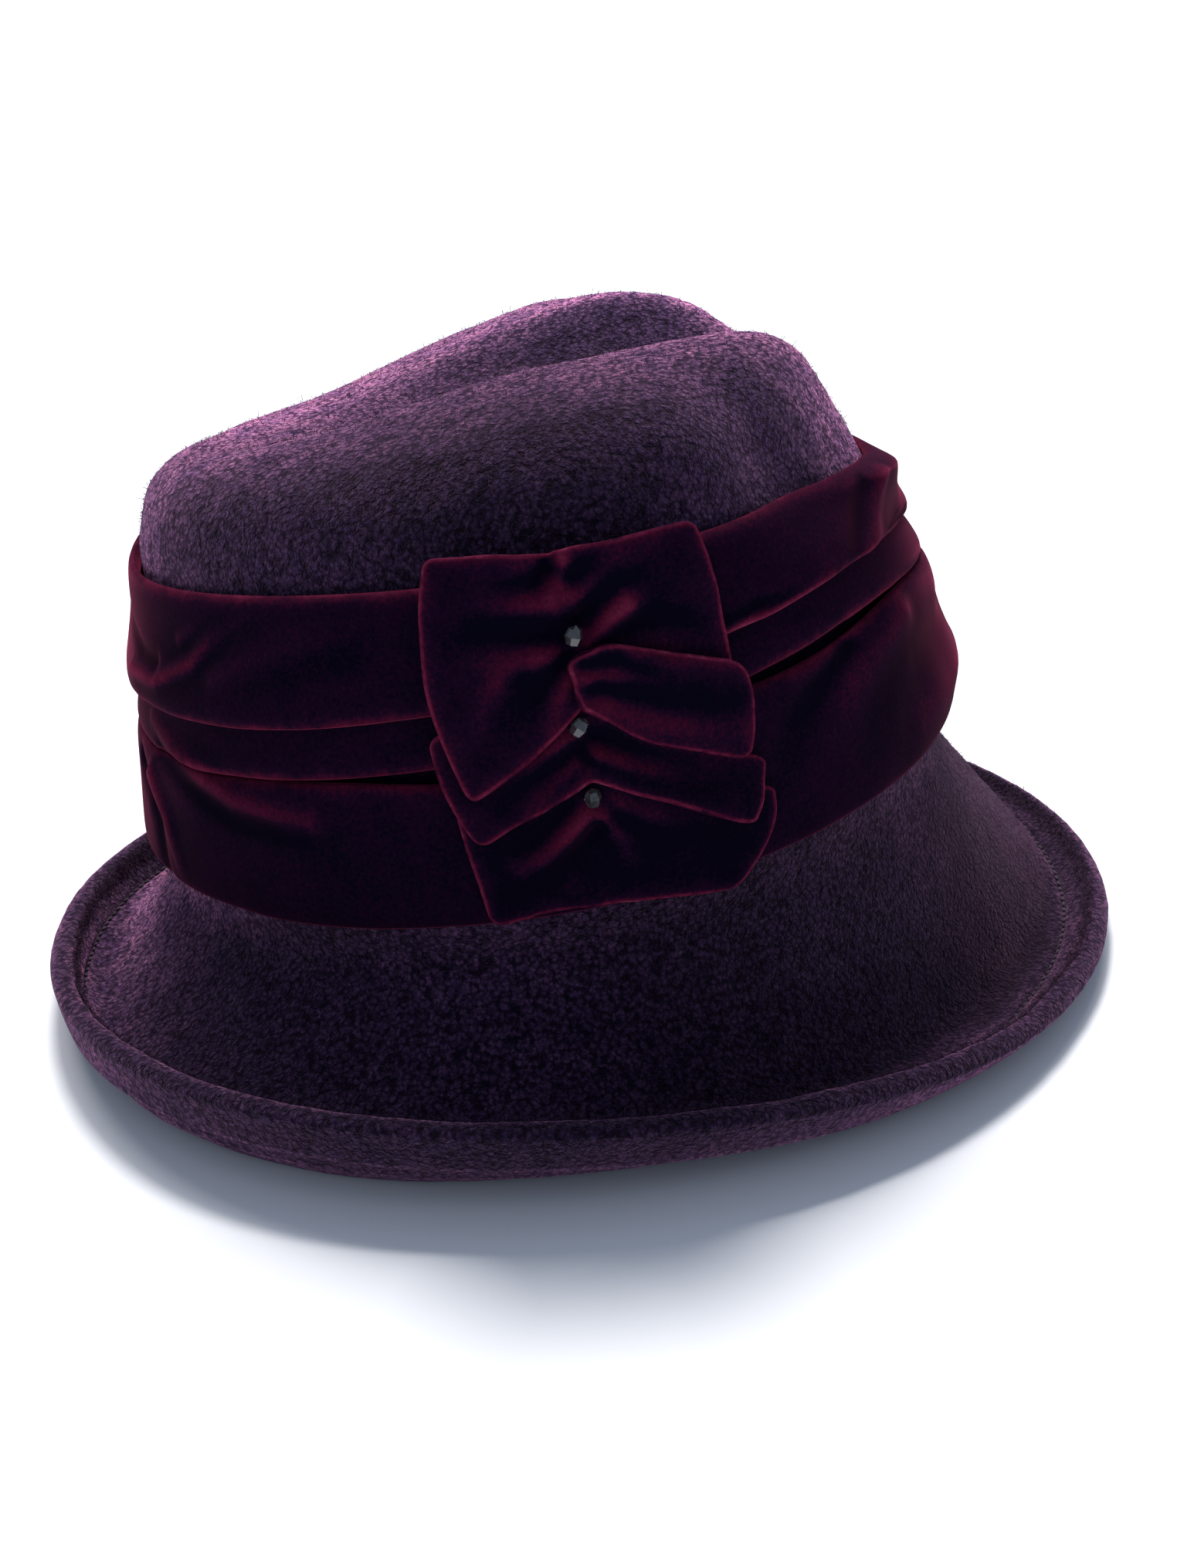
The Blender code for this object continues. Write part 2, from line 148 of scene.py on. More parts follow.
# Each bow tier as a net from its top edge down, each row from its back end to its front end:
# (across, height, lift) in hundredths of the bow's spread, thousandths of its height and hundredths
# of the layers it stands out by
NET_UNITS = (100, 1000, 100)
BOW_NETS = dict(
    bow_top_tier=(
        ((80, 1000, 30), (60, 997, 35), (39, 995, 40), (16, 978, 25), (3, 962, 5), (-4, 974, 20),
         (-31, 976, 42), (-62, 978, 35), (-92, 970, 25)),
        ((86, 881, 50), (64, 889, 50), (43, 886, 46), (18, 885, 24), (3, 885, 0), (-5, 884, 10),
         (-32, 869, 40), (-61, 862, 40), (-98, 825, 30)),
        ((87, 669, 85), (68, 700, 76), (45, 722, 60), (21, 742, 35), (2, 755, 10), (-14, 768, 8),
         (-37, 766, 18), (-68, 740, 20), (-99, 700, 20)),
        ((72, 420, 115), (54, 455, 108), (38, 492, 95), (19, 548, 72), (3, 597, 50), (-11, 640, 22),
         (-35, 649, 12), (-66, 623, 12), (-100, 593, 12)),
    ),
    bow_front_fold=(
        ((3, 725, 98), (-9, 737, 108), (-18, 748, 108), (-34, 732, 98), (-52, 698, 82),
         (-74, 660, 84), (-102, 612, 88)),
        ((2, 690, 102), (-8, 692, 112), (-17, 690, 114), (-34, 672, 120), (-56, 632, 105),
         (-79, 584, 100), (-106, 517, 90)),
        ((1, 650, 110), (-7, 640, 112), (-15, 618, 102), (-34, 580, 105), (-56, 532, 100),
         (-79, 480, 95), (-103, 430, 88)),
        ((-1, 612, 114), (-7, 592, 108), (-15, 560, 88), (-31, 500, 85), (-54, 450, 85),
         (-76, 405, 85), (-97, 359, 85)),
    ),
    bow_middle_tier=(
        ((93, 560, 0), (64, 580, 0), (31, 585, 0), (13, 595, 0), (3, 610, 0), (-6, 585, 0),
         (-33, 480, 0), (-71, 400, 0), (-112, 318, 0)),
        ((90, 465, 35), (63, 450, 30), (33, 470, 20), (13, 503, 5), (3, 518, 0), (-3, 500, 5),
         (-31, 401, 25), (-68, 333, 30), (-107, 272, 35)),
        ((83, 387, 70), (60, 389, 60), (33, 412, 45), (14, 440, 32), (4, 455, 28), (-3, 440, 34),
         (-29, 370, 52), (-61, 307, 60), (-102, 228, 70)),
        ((73, 290, 100), (51, 335, 90), (32, 363, 76), (14, 388, 56), (3, 408, 50), (-6, 394, 55),
         (-29, 342, 76), (-54, 288, 90), (-92, 185, 100)),
    ),
    bow_bottom_tier=(
        ((84, 372, 0), (61, 372, 0), (32, 385, 0), (11, 398, 0), (2, 405, 0), (-9, 390, 0),
         (-42, 320, 0), (-76, 262, 0), (-116, 235, 0)),
        ((82, 262, 8), (59, 256, 10), (36, 270, 10), (14, 288, 5), (3, 300, 0), (-7, 285, 5),
         (-39, 236, 10), (-73, 195, 12), (-113, 164, 12)),
        ((79, 165, 12), (58, 166, 15), (34, 182, 15), (15, 190, 10), (3, 195, 5), (-8, 182, 10),
         (-39, 150, 15), (-70, 118, 18), (-102, 90, 18)),
        ((75, 45, 15), (56, 56, 20), (35, 62, 20), (14, 60, 15), (0, 58, 10), (-14, 50, 15),
         (-37, 36, 20), (-59, 18, 22), (-80, 4, 22)),
    ),
)
# Creases (below 0) and ridges pulled by the gathers: how deep each is at its start and its end, and
# how wide, in tenths of a millimetre, then the points of its line, in the net's own units
BOW_CREASES = dict(
    bow_top_tier=(
        (-26, -4, 26, (3, 772), (20, 792), (50, 815)),
        (-32, -6, 22, (-12, 806), (-25, 842), (-46, 880)),
        (16, 23, 20, (-8, 752), (-16, 778), (-25, 802), (-36, 818)),
        (16, 5, 19, (-5, 945), (0, 905), (2, 850)),
        (-18, -3, 18, (6, 925), (16, 905), (36, 915)),
        (-15, 0, 22, (-10, 900), (-34, 950)),
        (-18, -8, 13, (3, 990), (3.5, 940)),
        (13, 3, 28, (8, 745), (26, 735), (55, 750)),
        (-20, -5, 22, (5, 712), (18, 672), (30, 610)),
        (12, 7, 20, (6, 672), (13, 625), (18, 565)),
        (14, 3, 32, (-8, 850), (-28, 905), (-55, 930)),
        (13, 2, 28, (8, 850), (26, 865), (52, 880)),
        (-9, 0, 26, (30, 690), (48, 620), (58, 540)),
        (7, 2, 35, (45, 680), (66, 560), (70, 470)),
        (-12, -2, 26, (-40, 770), (-70, 740), (-95, 720)),
    ),
    bow_front_fold=(
        (-20, -4, 32, (-10, 636), (-50, 552), (-100, 478)),
        (-16, -3, 22, (-6, 705), (-22, 700), (-46, 655)),
        (9, 4, 34, (-15, 590), (-50, 500), (-95, 420)),
        (8, 5, 24, (-36, 705), (-68, 640), (-100, 580)),
        (8, 2, 18, (-6, 672), (-22, 655), (-40, 615)),
    ),
    bow_middle_tier=(
        (16, 4, 22, (8, 525), (30, 468), (60, 425)),
        (-14, -2, 18, (7, 485), (30, 432), (52, 380)),
        (-16, -3, 22, (-6, 505), (-30, 432), (-62, 370)),
        (12, 3, 20, (-5, 465), (-30, 395), (-62, 330)),
        (-11, 0, 16, (4, 450), (20, 405), (34, 375)),
        (10, 3, 16, (10, 440), (26, 398), (42, 365)),
    ),
    bow_bottom_tier=(
        (30, 12, 24, (6, 318), (18, 268), (35, 212), (50, 182)),
        (-9, -5, 17, (14, 333), (36, 270), (52, 228)),
        (-9, -5, 17, (3, 260), (20, 190), (38, 135)),
        (16, 4, 18, (-2, 290), (-12, 205), (-15, 140)),
        (-9, 0, 20, (-6, 300), (-25, 210), (-32, 140)),
        (11, 2, 24, (-10, 310), (-42, 238), (-80, 190)),
    ),
)
# Each tier's width and height as it was cut and doubled, before it was gathered, and how far its
# corners are drawn in, as shares of its width and height
BOW_TIERS = dict(
    bow_top_tier=dict(flat=(0.066, 0.038), corner=(0.028, 0.05)),
    bow_front_fold=dict(flat=(0.039, 0.021), corner=(0.055, 0.12)),
    bow_middle_tier=dict(flat=(0.073, 0.018), corner=(0.03, 0.09)),
    bow_bottom_tier=dict(flat=(0.067, 0.024), corner=(0.04, 0.08)),
)
# The band's creases in the same way, their points as turns and thousandths of the band's height
CREASE_UNITS = (1, 1000)
CREASE_SIZE = 0.0001
BAND_CREASES = (
    (-24, -10, 15, (184, 870), (172, 835), (162, 775), (156, 765)),
    (15, 12, 16, (166, 700), (155, 717), (145.4, 803), (141.6, 878), (133.6, 985)),
    (-1, -19, 14, (153, 765), (146.5, 845), (142, 925), (137, 985)),
    (12, 8, 12, (149, 860), (146, 900), (141, 980)),
    (-1, -14, 16, (147, 745), (139.5, 850), (136, 910), (129, 980)),
    (3, 8, 26, (141, 760), (135.5, 830), (128, 890), (120, 930)),
    (-1, -5, 26, (133, 760), (127, 810), (119, 850)),
    (24, 9, 26, (163, 560), (156.6, 520), (149.5, 470), (140.2, 400), (128, 360)),
    (-13, -4, 24, (160, 450), (150, 390), (141, 335), (129, 310)),
    (-22, -9, 24, (171, 350), (164.5, 290), (161, 200), (161, 50)),
    (15, 5, 22, (163, 360), (157, 260), (155, 100)),
    (13, 3, 50, (42, 540), (50, 480), (56, 410), (60, 300)),
    (-10, -2, 40, (56, 560), (62, 470), (67, 370), (70, 260)),
    (-17, -4, 45, (14, 360), (26, 350), (40, 370)),
    (18, 8, 45, (14, 160), (28, 150), (42, 160)),
    (15, 6, 30, (33, 960), (40, 860), (47, 750)),
    (-13, -4, 30, (41, 960), (48, 850), (54, 740)),
    (20, 2, 13, (77, 725), (70.5, 742), (62, 735), (55, 715)),
    (-15, -1, 12, (77, 760), (70, 775), (61, 765)),
    (-16, -1, 12, (77, 690), (70, 706), (60, 695)),
    (12, 5, 30, (205, 700), (214, 800), (220, 960)),
    (-13, -4, 26, (212, 720), (220, 810), (228, 960)),
    (16, 3, 36, (262, 520), (275, 440), (284, 330)),
    (-13, -3, 30, (284, 850), (296, 900), (305, 960)),
    (16, 5, 36, (318, 540), (328, 450), (334, 340)),
    (-14, -3, 30, (350, 520), (358, 440), (366, 380)),
)
# The beads' places in the bow's shares
BEADS = ((-0.03, 0.78), (0.03, 0.552), (0.02, 0.361))

# Finer sizes of the felt: its grid, its hem and stitching, its uneven surface and its loose fibres
FELT_COLUMNS = 432
HEM_STEP = 0.0005
HEM_ROWS = 28
BRIM_ROWS = 24
CROWN_ROWS = 92
CREST_SHARE = 0.985
CREST_CALM = 0.006
HEM_SWELL = 0.00035
HEM_STEP_DOWN = 0.0016
EDGE_ROLL = 0.0017
ROLL_ROWS = 8
STITCH_PITCH = 0.0029
STITCH_LENGTH = 0.0022
STITCH_RADIUS = 0.00032
STITCH_RINGS = 6
STITCH_SIDES = 6
STITCH_GROOVE = 0.00095
GROOVE_WIDTH = 0.0008
INNER_RELIEF = 0.5
# Lumps, each as its depth, its size and its seed
FELT_LUMPS = ((0.00055, 0.032, 3), (0.00022, 0.013, 4), (0.00020, 0.0048, 5), (0.00013, 0.0030, 6))
EDGE_LUMPS = ((0.00012, 0.003, 8),)
# Painted light on the crown's top, by place: the axis and its sense, where it starts, its fade and its
# amount
CROWN_PAINTED_LIGHT = (
    (1, -1, -0.030, 0.075, 0.42),
    (0, 1, -0.010, 0.044, 0.48),
    (1, 1, 0.055, 0.030, 0.16),
)
# The level of the painted light and shade layer where nothing is painted, and the crown rows where its
# painted light comes in
UNPAINTED_LEVEL = 0.2
PAINTED_LIGHT_ROW = HEM_ROWS + BRIM_ROWS + 24
PAINTED_LIGHT_ROWS = 15
# Each patch of fibres: the felt's rows that it grows on, its count, its seed and its length
FIBRES = (
    ("crown_fibres", HEM_ROWS + BRIM_ROWS + 18, None, 17500, 11, 0.9),
    ("brim_fibres", 0, HEM_ROWS + BRIM_ROWS + 6, 14500, 12, 0.8),
    ("edge_fibres", 0, 6, 13000, 13, 1.35),
)
FIBRE_LENGTH = 0.0009
FIBRE_MORE = 0.0013
FIBRE_THICKNESS = (0.000055, 0.000095)
FIBRE_SCATTER = 0.0006
FIBRE_SUNK = 0.0001
STANDING_SHARE = 0.42
LONG_SHARE = 0.06
LONG_FACTOR = 1.9

# Finer sizes of the velvet
BAND_COLUMNS = 470
BAND_ROWS = 114
BAND_BACK_STEP = 2
BAND_CLOTH = 0.0009
BAND_SWAY = ((0.0008, 0.030, 21), (0.0005, 0.014, 22))
BAND_WANDER = ((0.0006, 0.05, 23),)
# Lumps in the band's painted sheen at its bends
BAND_SHEEN_LUMPS = ((0.4, 0.0018, 45), (0.4, 0.010, 46))
# Where the band's columns lie closer, and where its middle fold hangs open: (turn, width, amount)
BAND_FINER = ((150, 26, 1.7), (50, 28, 1.2))
BAND_OPEN = ((106, 13, 0.048), (60, 17, 0.036), (250, 25, 0.02))
# The upper fold stands up loose near the front and is drawn in behind: (turn, width)
UPPER_FOLD = 0.60
UPPER_LOOSE = (26, 15)
UPPER_DRAWN = (178, 14)
BOW_CLEAR = 20
TIER_COLUMNS = 112
TIER_ROWS = 68
RIM_ROWS = 9
RIM_SWELL = 0.62
NET_ACROSS = 240
NET_DOWN = 160
TIER_SHIFT = ((0.012, 0.011, 31),)
TIER_RISE = ((0.006, 0.012, 32),)
TIER_LUMPS = ((0.00030, 0.009, 33), (0.00012, 0.004, 34))
# Lumps in the painted sheen along the tiers' rims: in the thin line, and on the rolled edge
LINE_SHEEN_LUMPS = ((0.45, 0.0016, 41), (0.35, 0.006, 42))
RIM_SHEEN_LUMPS = ((0.26, 0.0016, 43), (0.22, 0.008, 44))
# The stand-off of the bow's outer face where it lies closest to the band
BOW_BASE = CLEARANCE + BAND_PUFF + CLEARANCE + BOW_VELVET
# A degree round the band, in metres
BAND_DEGREE = math.radians(1) * (HEAD_LENGTH / 2 + FELT + BAND_PUFF)


def curve(table, key, at, column, around=False):
    """The column's values on a smooth curve through the table's rows, at each of an array of places."""
    places = np.array([row[key] for row in table], float)
    levels = np.array([row[column] for row in table], float)
    at = np.asarray(at, float)
    if around:
        at = at % FULL_TURN
        places = np.concatenate([[places[-1] - FULL_TURN], places, FULL_TURN + places[:2]])
        levels = np.concatenate([[levels[-1]], levels, levels[:2]])
    return through(places, levels, at)


def through(places, levels, at):
    """A smooth curve through levels given at rising places."""
    last = len(places) - 1
    slopes = np.empty(last + 1)
    for i in range(last + 1):
        before, after = max(i - 1, 0), min(i + 1, last)
        slopes[i] = (levels[after] - levels[before]) / (places[after] - places[before])
    start = np.clip(np.searchsorted(places[1:], at, side="left"), 0, last - 1)
    span = places[start + 1] - places[start]
    t = np.clip((at - places[start]) / span, 0, 1)
    return (
        levels[start] * (1 + 2 * t) * (1 - t) ** 2
        + levels[start + 1] * t * t * (3 - 2 * t)
        + slopes[start] * span * t * (1 - t) ** 2
        - slopes[start + 1] * span * t * t * (1 - t)
    )


def brim_at(turn, column):
    return curve(BRIM_STATIONS, "turn", turn, column, around=True)


def smooth_step(share):
    share = np.clip(share, 0, 1)
    return share * share * (3 - 2 * share)


def bump(distance, width):
    """A soft hump, 1 at no distance."""
    return np.exp(-((distance / width) ** 2))


def unit(vectors):
    return vectors / np.maximum(norm(vectors, axis=-1, keepdims=True), 1e-12)


def noise(points, size, seed):
    """Smooth noise from -1 to 1 at each point, with lumps of about this size in metres."""
    scaled = np.asarray(points, float) / size
    cell = np.floor(scaled).astype(np.int64)
    inside = scaled - cell
    inside = inside * inside * (3 - 2 * inside)
    total = np.zeros(scaled.shape[:-1])
    for corner in range(8):
        step = np.array([corner & 1, corner >> 1 & 1, corner >> 2 & 1])
        x, y, z = np.moveaxis(cell + step, -1, 0)
        mixed = (x * 73856093 ^ y * 19349663 ^ z * 83492791 ^ seed * 26544357) & 0x7FFFFFFF
        mixed = (mixed ^ mixed >> 13) * 12741261 & 0x7FFFFFFF
        level = ((mixed ^ mixed >> 15) & 0xFFFF) / 32767.5 - 1
        share = np.where(step == 1, inside, 1 - inside).prod(-1)
        total += level * share
    return total


def lumps(points, rows):
    """Smooth noises added up, each row as a depth, a size and a seed."""
    return sum(depth * noise(points, size, seed) for depth, size, seed in rows)


def to_world(points):
    """From the leaning head frame to the world."""
    setback = BRIM_REACH * (brim_at(0, "edge_out") - brim_at(180, "edge_out")) / 2
    place = Matrix.Translation((0, float(setback), HEADLINE_HEIGHT))
    place = np.array(place @ Matrix.Rotation(-CROWN_LEAN, 4, "X"))
    return points @ place[:3, :3].T + place[:3, 3]


def head_oval(turn, share=1.0, standoff=0.0):
    """Points on the felt's outer oval, and its outward normals there, in the head frame."""
    turn, share, standoff = np.broadcast_arrays(np.asarray(turn, float), share, standoff)
    angle = np.radians(turn)
    length = HEAD_LENGTH / 2 + FELT
    width = HEAD_WIDTH / 2 + FELT
    flat = np.zeros(turn.shape)
    point = np.stack([-width * np.sin(angle), -length * np.cos(angle), flat], -1) * share[..., None]
    normal = unit(np.stack([-length * np.sin(angle), -width * np.cos(angle), flat], -1))
    return point + normal * standoff[..., None], normal


def section_share(level, column, place=None):
    """The crown section's reach at a level, or at a place along the section where that is given."""
    if place is None:
        return curve(CROWN_SECTION, "height", level, column)
    return through(SECTION_RUN, SECTION_LEVELS[column], place)


SECTION_LEVELS = {
    column: np.array([row[column] for row in CROWN_SECTION] + [1.0 if column == "height" else 0.0])
    for column in ("height", "front", "back", "side")
}
SECTION_RUN = np.concatenate([[0], np.cumsum(np.hypot(
    np.diff(SECTION_LEVELS["height"]) * CROWN_HEIGHT,
    np.diff(SECTION_LEVELS["side"]) * HEAD_WIDTH / 2,
))])


def crown_point(turn, height, standoff=0.0, place=None):
    """Points at a height and a stand-off from the crown's outer face, in the head frame."""
    turn, height, standoff = np.broadcast_arrays(np.asarray(turn, float), height, standoff)
    level = height / CROWN_HEIGHT
    ahead = np.cos(np.radians(turn))
    front, back, side = (section_share(level, end, place) for end in ("front", "back", "side"))
    end = back + (front - back) * smooth_step(ahead * 3 + 0.5)
    away = (turn + FULL_TURN / 2) % FULL_TURN - FULL_TURN / 2
    pinched = PINCH_DEPTH * bump(np.abs(away) - PINCH_TURN, PINCH_WIDTH)
    pinched = pinched * smooth_step((level - PINCH_FOOT) / (1 - PINCH_FOOT) * 2)
    point, _ = head_oval(turn, end * ahead**2 + side * (1 - ahead**2), standoff - pinched)
    point[..., 2] = height
    return point


def dented(point):
    """Raises and lowers points of the crown to the ridges and the crease along its top."""
    along = point[..., 1] / (HEAD_LENGTH / 2)
    columns = ("left", "right", "crease")
    left, right, crease = (curve(TOP_DENTS, "along", along, column) for column in columns)
    ridge = np.where(point[..., 0] > 0, left, right)
    share = np.clip((point[..., 2] - DENT_FOOT) / (CROWN_HEIGHT - DENT_FOOT), 0, 1)
    depth = np.sqrt(share) * smooth_step(share / 0.35)
    sideways = smooth_step(np.abs(point[..., 0]) / RIDGE_OFFSET)
    made = point.copy()
    made[..., 2] += TOP_DENT * depth * (crease + (ridge - crease) * sideways)
    return made


def brim_lines(turn, steps=40):
    """World points on the brim's upper face at each turn, from its edge in to the headline."""
    base, normal = head_oval(turn)
    base = to_world(base)
    bend_out = BRIM_REACH * brim_at(turn, "bend_out")
    bend_high = FELT - PRESSED_FLAT + LIP_HEIGHT * brim_at(turn, "bend_high")
    lip_out = BRIM_REACH * brim_at(turn, "edge_out") - bend_out
    lip_high = FELT + LIP_HEIGHT * brim_at(turn, "edge_high") - bend_high
    hollow = brim_at(turn, "hollow")[:, None]
    bend = np.concatenate([base[:, :2], bend_high[:, None]], 1) + normal * bend_out[:, None]
    angle = LIP_SWEEP * np.linspace(1, 0, steps, endpoint=False)[None, :, None]
    lip = bend[:, None, :] + normal[:, None, :] * (
        lip_out[:, None, None] * np.sin(angle) / math.sin(LIP_SWEEP)
    )
    lip[..., 2] += lip_high[:, None] * ((1 - np.cos(angle)) / (1 - math.cos(LIP_SWEEP)))[..., 0]
    t = np.linspace(1, 0, steps, endpoint=False)[None, :]
    fall = base[:, None, :] + normal[:, None, :] * (bend_out[:, None] * t)[..., None]
    fall[..., 2] += (bend_high - base[:, 2])[:, None] * (1 - (1 - t) ** hollow)
    return np.concatenate([lip, fall], 1)


def travelled(line):
    """The length along a line of points, at each of them."""
    return np.concatenate([[0], np.cumsum(norm(np.diff(line, axis=0), axis=1))])


def read_at(line, run, at):
    """A line's columns of numbers, read between its points at lengths along it."""
    return np.stack([np.interp(at, run, column) for column in line.T], 1)


def resample(lines, runs):
    """Each line of points read at these lengths along it."""
    return np.array([read_at(line, travelled(line), at) for line, at in zip(lines, runs)])


def lengths(lines):
    return norm(np.diff(lines, axis=1), axis=2).sum(1)


def soften(lines, sigma, axis, wrap=False):
    """Blurs a grid of points along one of its directions; ends that don't wrap stay in place."""
    reach = int(3 * sigma) + 1
    weights = np.exp(-0.5 * (np.arange(-reach, reach + 1) / sigma) ** 2)
    weights /= weights.sum()
    grid = np.moveaxis(lines, axis, 0)
    if wrap:
        padded = np.concatenate([grid[-reach:], grid, grid[:reach]])
    else:
        head = 2 * grid[:1] - grid[reach:0:-1]
        tail = 2 * grid[-1:] - grid[-2:-2 - reach:-1]
        padded = np.concatenate([head, grid, tail])
    made = sum(w * padded[k:k + len(grid)] for k, w in enumerate(weights))
    return np.moveaxis(made, 0, axis)


def slope(grid, axis, around=False):
    """The change from point to point along one direction of a grid."""
    if around:
        return (np.roll(grid, -1, axis) - np.roll(grid, 1, axis)) / 2
    return np.gradient(grid, axis=axis)


def grid_normals(grid, around):
    """Unit normals of a grid of points, columns first."""
    return unit(np.cross(slope(grid, 0, around), slope(grid, 1)))


def mesh_object(name, points, faces, look, **layers):
    """A smooth mesh object with its material, and a number for each point in each named layer."""
    data = bpy.data.meshes.new(name)
    data.from_pydata(np.asarray(points).tolist(), [], faces)
    data.shade_smooth()
    data.materials.append(look)
    for layer, values in layers.items():
        made = data.attributes.new(layer, "FLOAT", "POINT")
        made.data.foreach_set("value", np.asarray(values, np.float32).ravel())
    made = bpy.data.objects.new(name, data)
    bpy.context.scene.collection.objects.link(made)
    return made


def grid_faces(columns, rows, around, closed_rows=False, first=0, flip=False):
    """Quads over a grid of points, columns first, round both ways where it is closed."""
    i = np.arange(columns if around else columns - 1)
    j = np.arange(rows if closed_rows else rows - 1)
    i, j = np.meshgrid(i, j, indexing="ij")
    i2, j2 = (i + 1) % columns, (j + 1) % rows
    quads = np.stack([i * rows + j, i * rows + j2, i2 * rows + j2, i2 * rows + j], -1)
    quads = quads.reshape(-1, 4) + first
    return (quads[:, ::-1] if flip else quads).tolist()


# Felt

def felt_outer():
    """The felt's outer face as a grid of world points, from the hem's edge to the crest, and the
    length along each column from the edge."""
    turn = FULL_TURN * np.arange(FELT_COLUMNS) / FELT_COLUMNS
    brim = brim_lines(turn)
    place = np.linspace(0, SECTION_RUN[-1] * CREST_SHARE, 160)
    height = CROWN_HEIGHT * through(SECTION_RUN, SECTION_LEVELS["height"], place)
    crown = to_world(dented(crown_point(turn[:, None], height[None, :], place=place[None, :])))
    lines = np.concatenate([brim, crown], 1)
    whole = lengths(lines)
    even = whole[:, None] * np.linspace(0, 1, 560)[None, :]
    lines = soften(resample(lines, even), 5.0, 1)
    lines = soften(lines, 1.6, 0, wrap=True)
    headline = lengths(brim)
    whole = lengths(lines)
    hem_end = EDGE_ROLL + HEM_STEP * HEM_ROWS
    runs = np.concatenate([
        np.repeat(EDGE_ROLL + HEM_STEP * np.arange(HEM_ROWS)[None, :], FELT_COLUMNS, 0),
        hem_end + (headline - hem_end)[:, None] * np.linspace(0, 1, BRIM_ROWS, endpoint=False),
        headline[:, None] + (whole - headline)[:, None] * np.linspace(0, 1, CROWN_ROWS),
    ], 1)
    return resample(lines, runs), runs


def felt_relief(points, runs):
    """How far the felt stands out from its plain form: hem, stitch line, blocking and nubs."""
    hem = HEM_SWELL * np.sin(np.pi * np.clip(runs / HEM_WIDTH, 0, 1))
    seam = -STITCH_GROOVE * bump(runs - HEM_WIDTH, GROOVE_WIDTH)
    return hem + seam + lumps(points, FELT_LUMPS)


def felt_painted_light(outer, runs):
    """Painted light and shade on the felt: 0.2 where none is painted, up to 1 of painted light on the
    crown's top, more painted light on the brim's back; less than 0.2 is painted shade on the brim's
    front.
    """
    raised = smooth_step((np.arange(runs.shape[1]) - PAINTED_LIGHT_ROW) / PAINTED_LIGHT_ROWS)
    # Painted light on the crown's top
    lit_crown = sum(
        amount * smooth_step((sense * outer[..., axis] - start) / fade)
        for axis, sense, start, fade, amount in CROWN_PAINTED_LIGHT
    )
    # Painted shade on the brim's front, weaker on its hem, and painted light on the brim's back
    along = outer[..., 1]
    inward = 0.35 + 0.65 * smooth_step((runs - HEM_WIDTH) / 0.006)
    shaded = 0.20 * smooth_step((-0.055 - along) / 0.032) * inward
    lit = 0.17 * smooth_step(along / 0.04)
    crown = (1 - UNPAINTED_LEVEL) * np.clip(lit_crown, 0, 1) * raised
    return UNPAINTED_LEVEL + crown + (lit - shaded) * (1 - raised)


def felt_hat(look):
    """The felt as one closed mesh: its outer face, its rolled edge and its inner face."""
    outer, runs = felt_outer()
    normal = -grid_normals(outer, True)
    calm = smooth_step((runs.max(1, keepdims=True) - runs) / CREST_CALM)
    thick = FELT + (HEM_THICKNESS - FELT) * (1 - smooth_step((runs - HEM_WIDTH) / HEM_STEP_DOWN))
    relief = felt_relief(outer, runs) * calm
    inner_rows = np.r_[0:HEM_ROWS:2, HEM_ROWS:outer.shape[1]:2]
    echoed = INNER_RELIEF * relief * (runs > HEM_WIDTH * 1.3)
    inner = (outer - normal * (thick + echoed)[..., None])[:, inner_rows]
    outer = outer + normal * relief[..., None]
    edge = unit(outer[:, 0] - outer[:, 1])[:, None]
    middle = (outer[:, 0] + inner[:, 0])[:, None] / 2
    half = (outer[:, 0] - inner[:, 0])[:, None] / 2
    angle = math.pi * np.arange(1, ROLL_ROWS + 1)[None, :, None] / (ROLL_ROWS + 1)
    rolled = middle + half * np.cos(angle) + edge * (EDGE_ROLL * np.sin(angle))
    rolled += edge * lumps(rolled, EDGE_LUMPS)[..., None]
    for part in (inner, rolled):
        part[..., 2] = np.maximum(part[..., 2], 0)
    grid = np.concatenate([outer[:, ::-1], rolled, inner], 1)
    columns, rows = grid.shape[:2]
    points = np.concatenate([grid.reshape(-1, 3), [grid[:, 0].mean(0), grid[:, -1].mean(0)]])
    faces = grid_faces(columns, rows, True, flip=True)
    top, low = len(points) - 2, len(points) - 1
    for i in range(columns):
        beside = (i + 1) % columns
        faces.append((beside * rows, i * rows, top))
        faces.append((i * rows + rows - 1, beside * rows + rows - 1, low))
    # The painted light and shade layer; the rolled edge and the inner face get the unpainted level
    light_and_shade = felt_painted_light(outer, runs)
    unworn = np.full((columns, rows - light_and_shade.shape[1]), UNPAINTED_LEVEL)
    worn = np.concatenate([light_and_shade[:, ::-1], unworn], 1).ravel()
    worn = np.append(worn, [light_and_shade[:, -1].mean(), UNPAINTED_LEVEL])
    return mesh_object("felt_hat", points, faces, look, worn=worn), outer, normal, runs


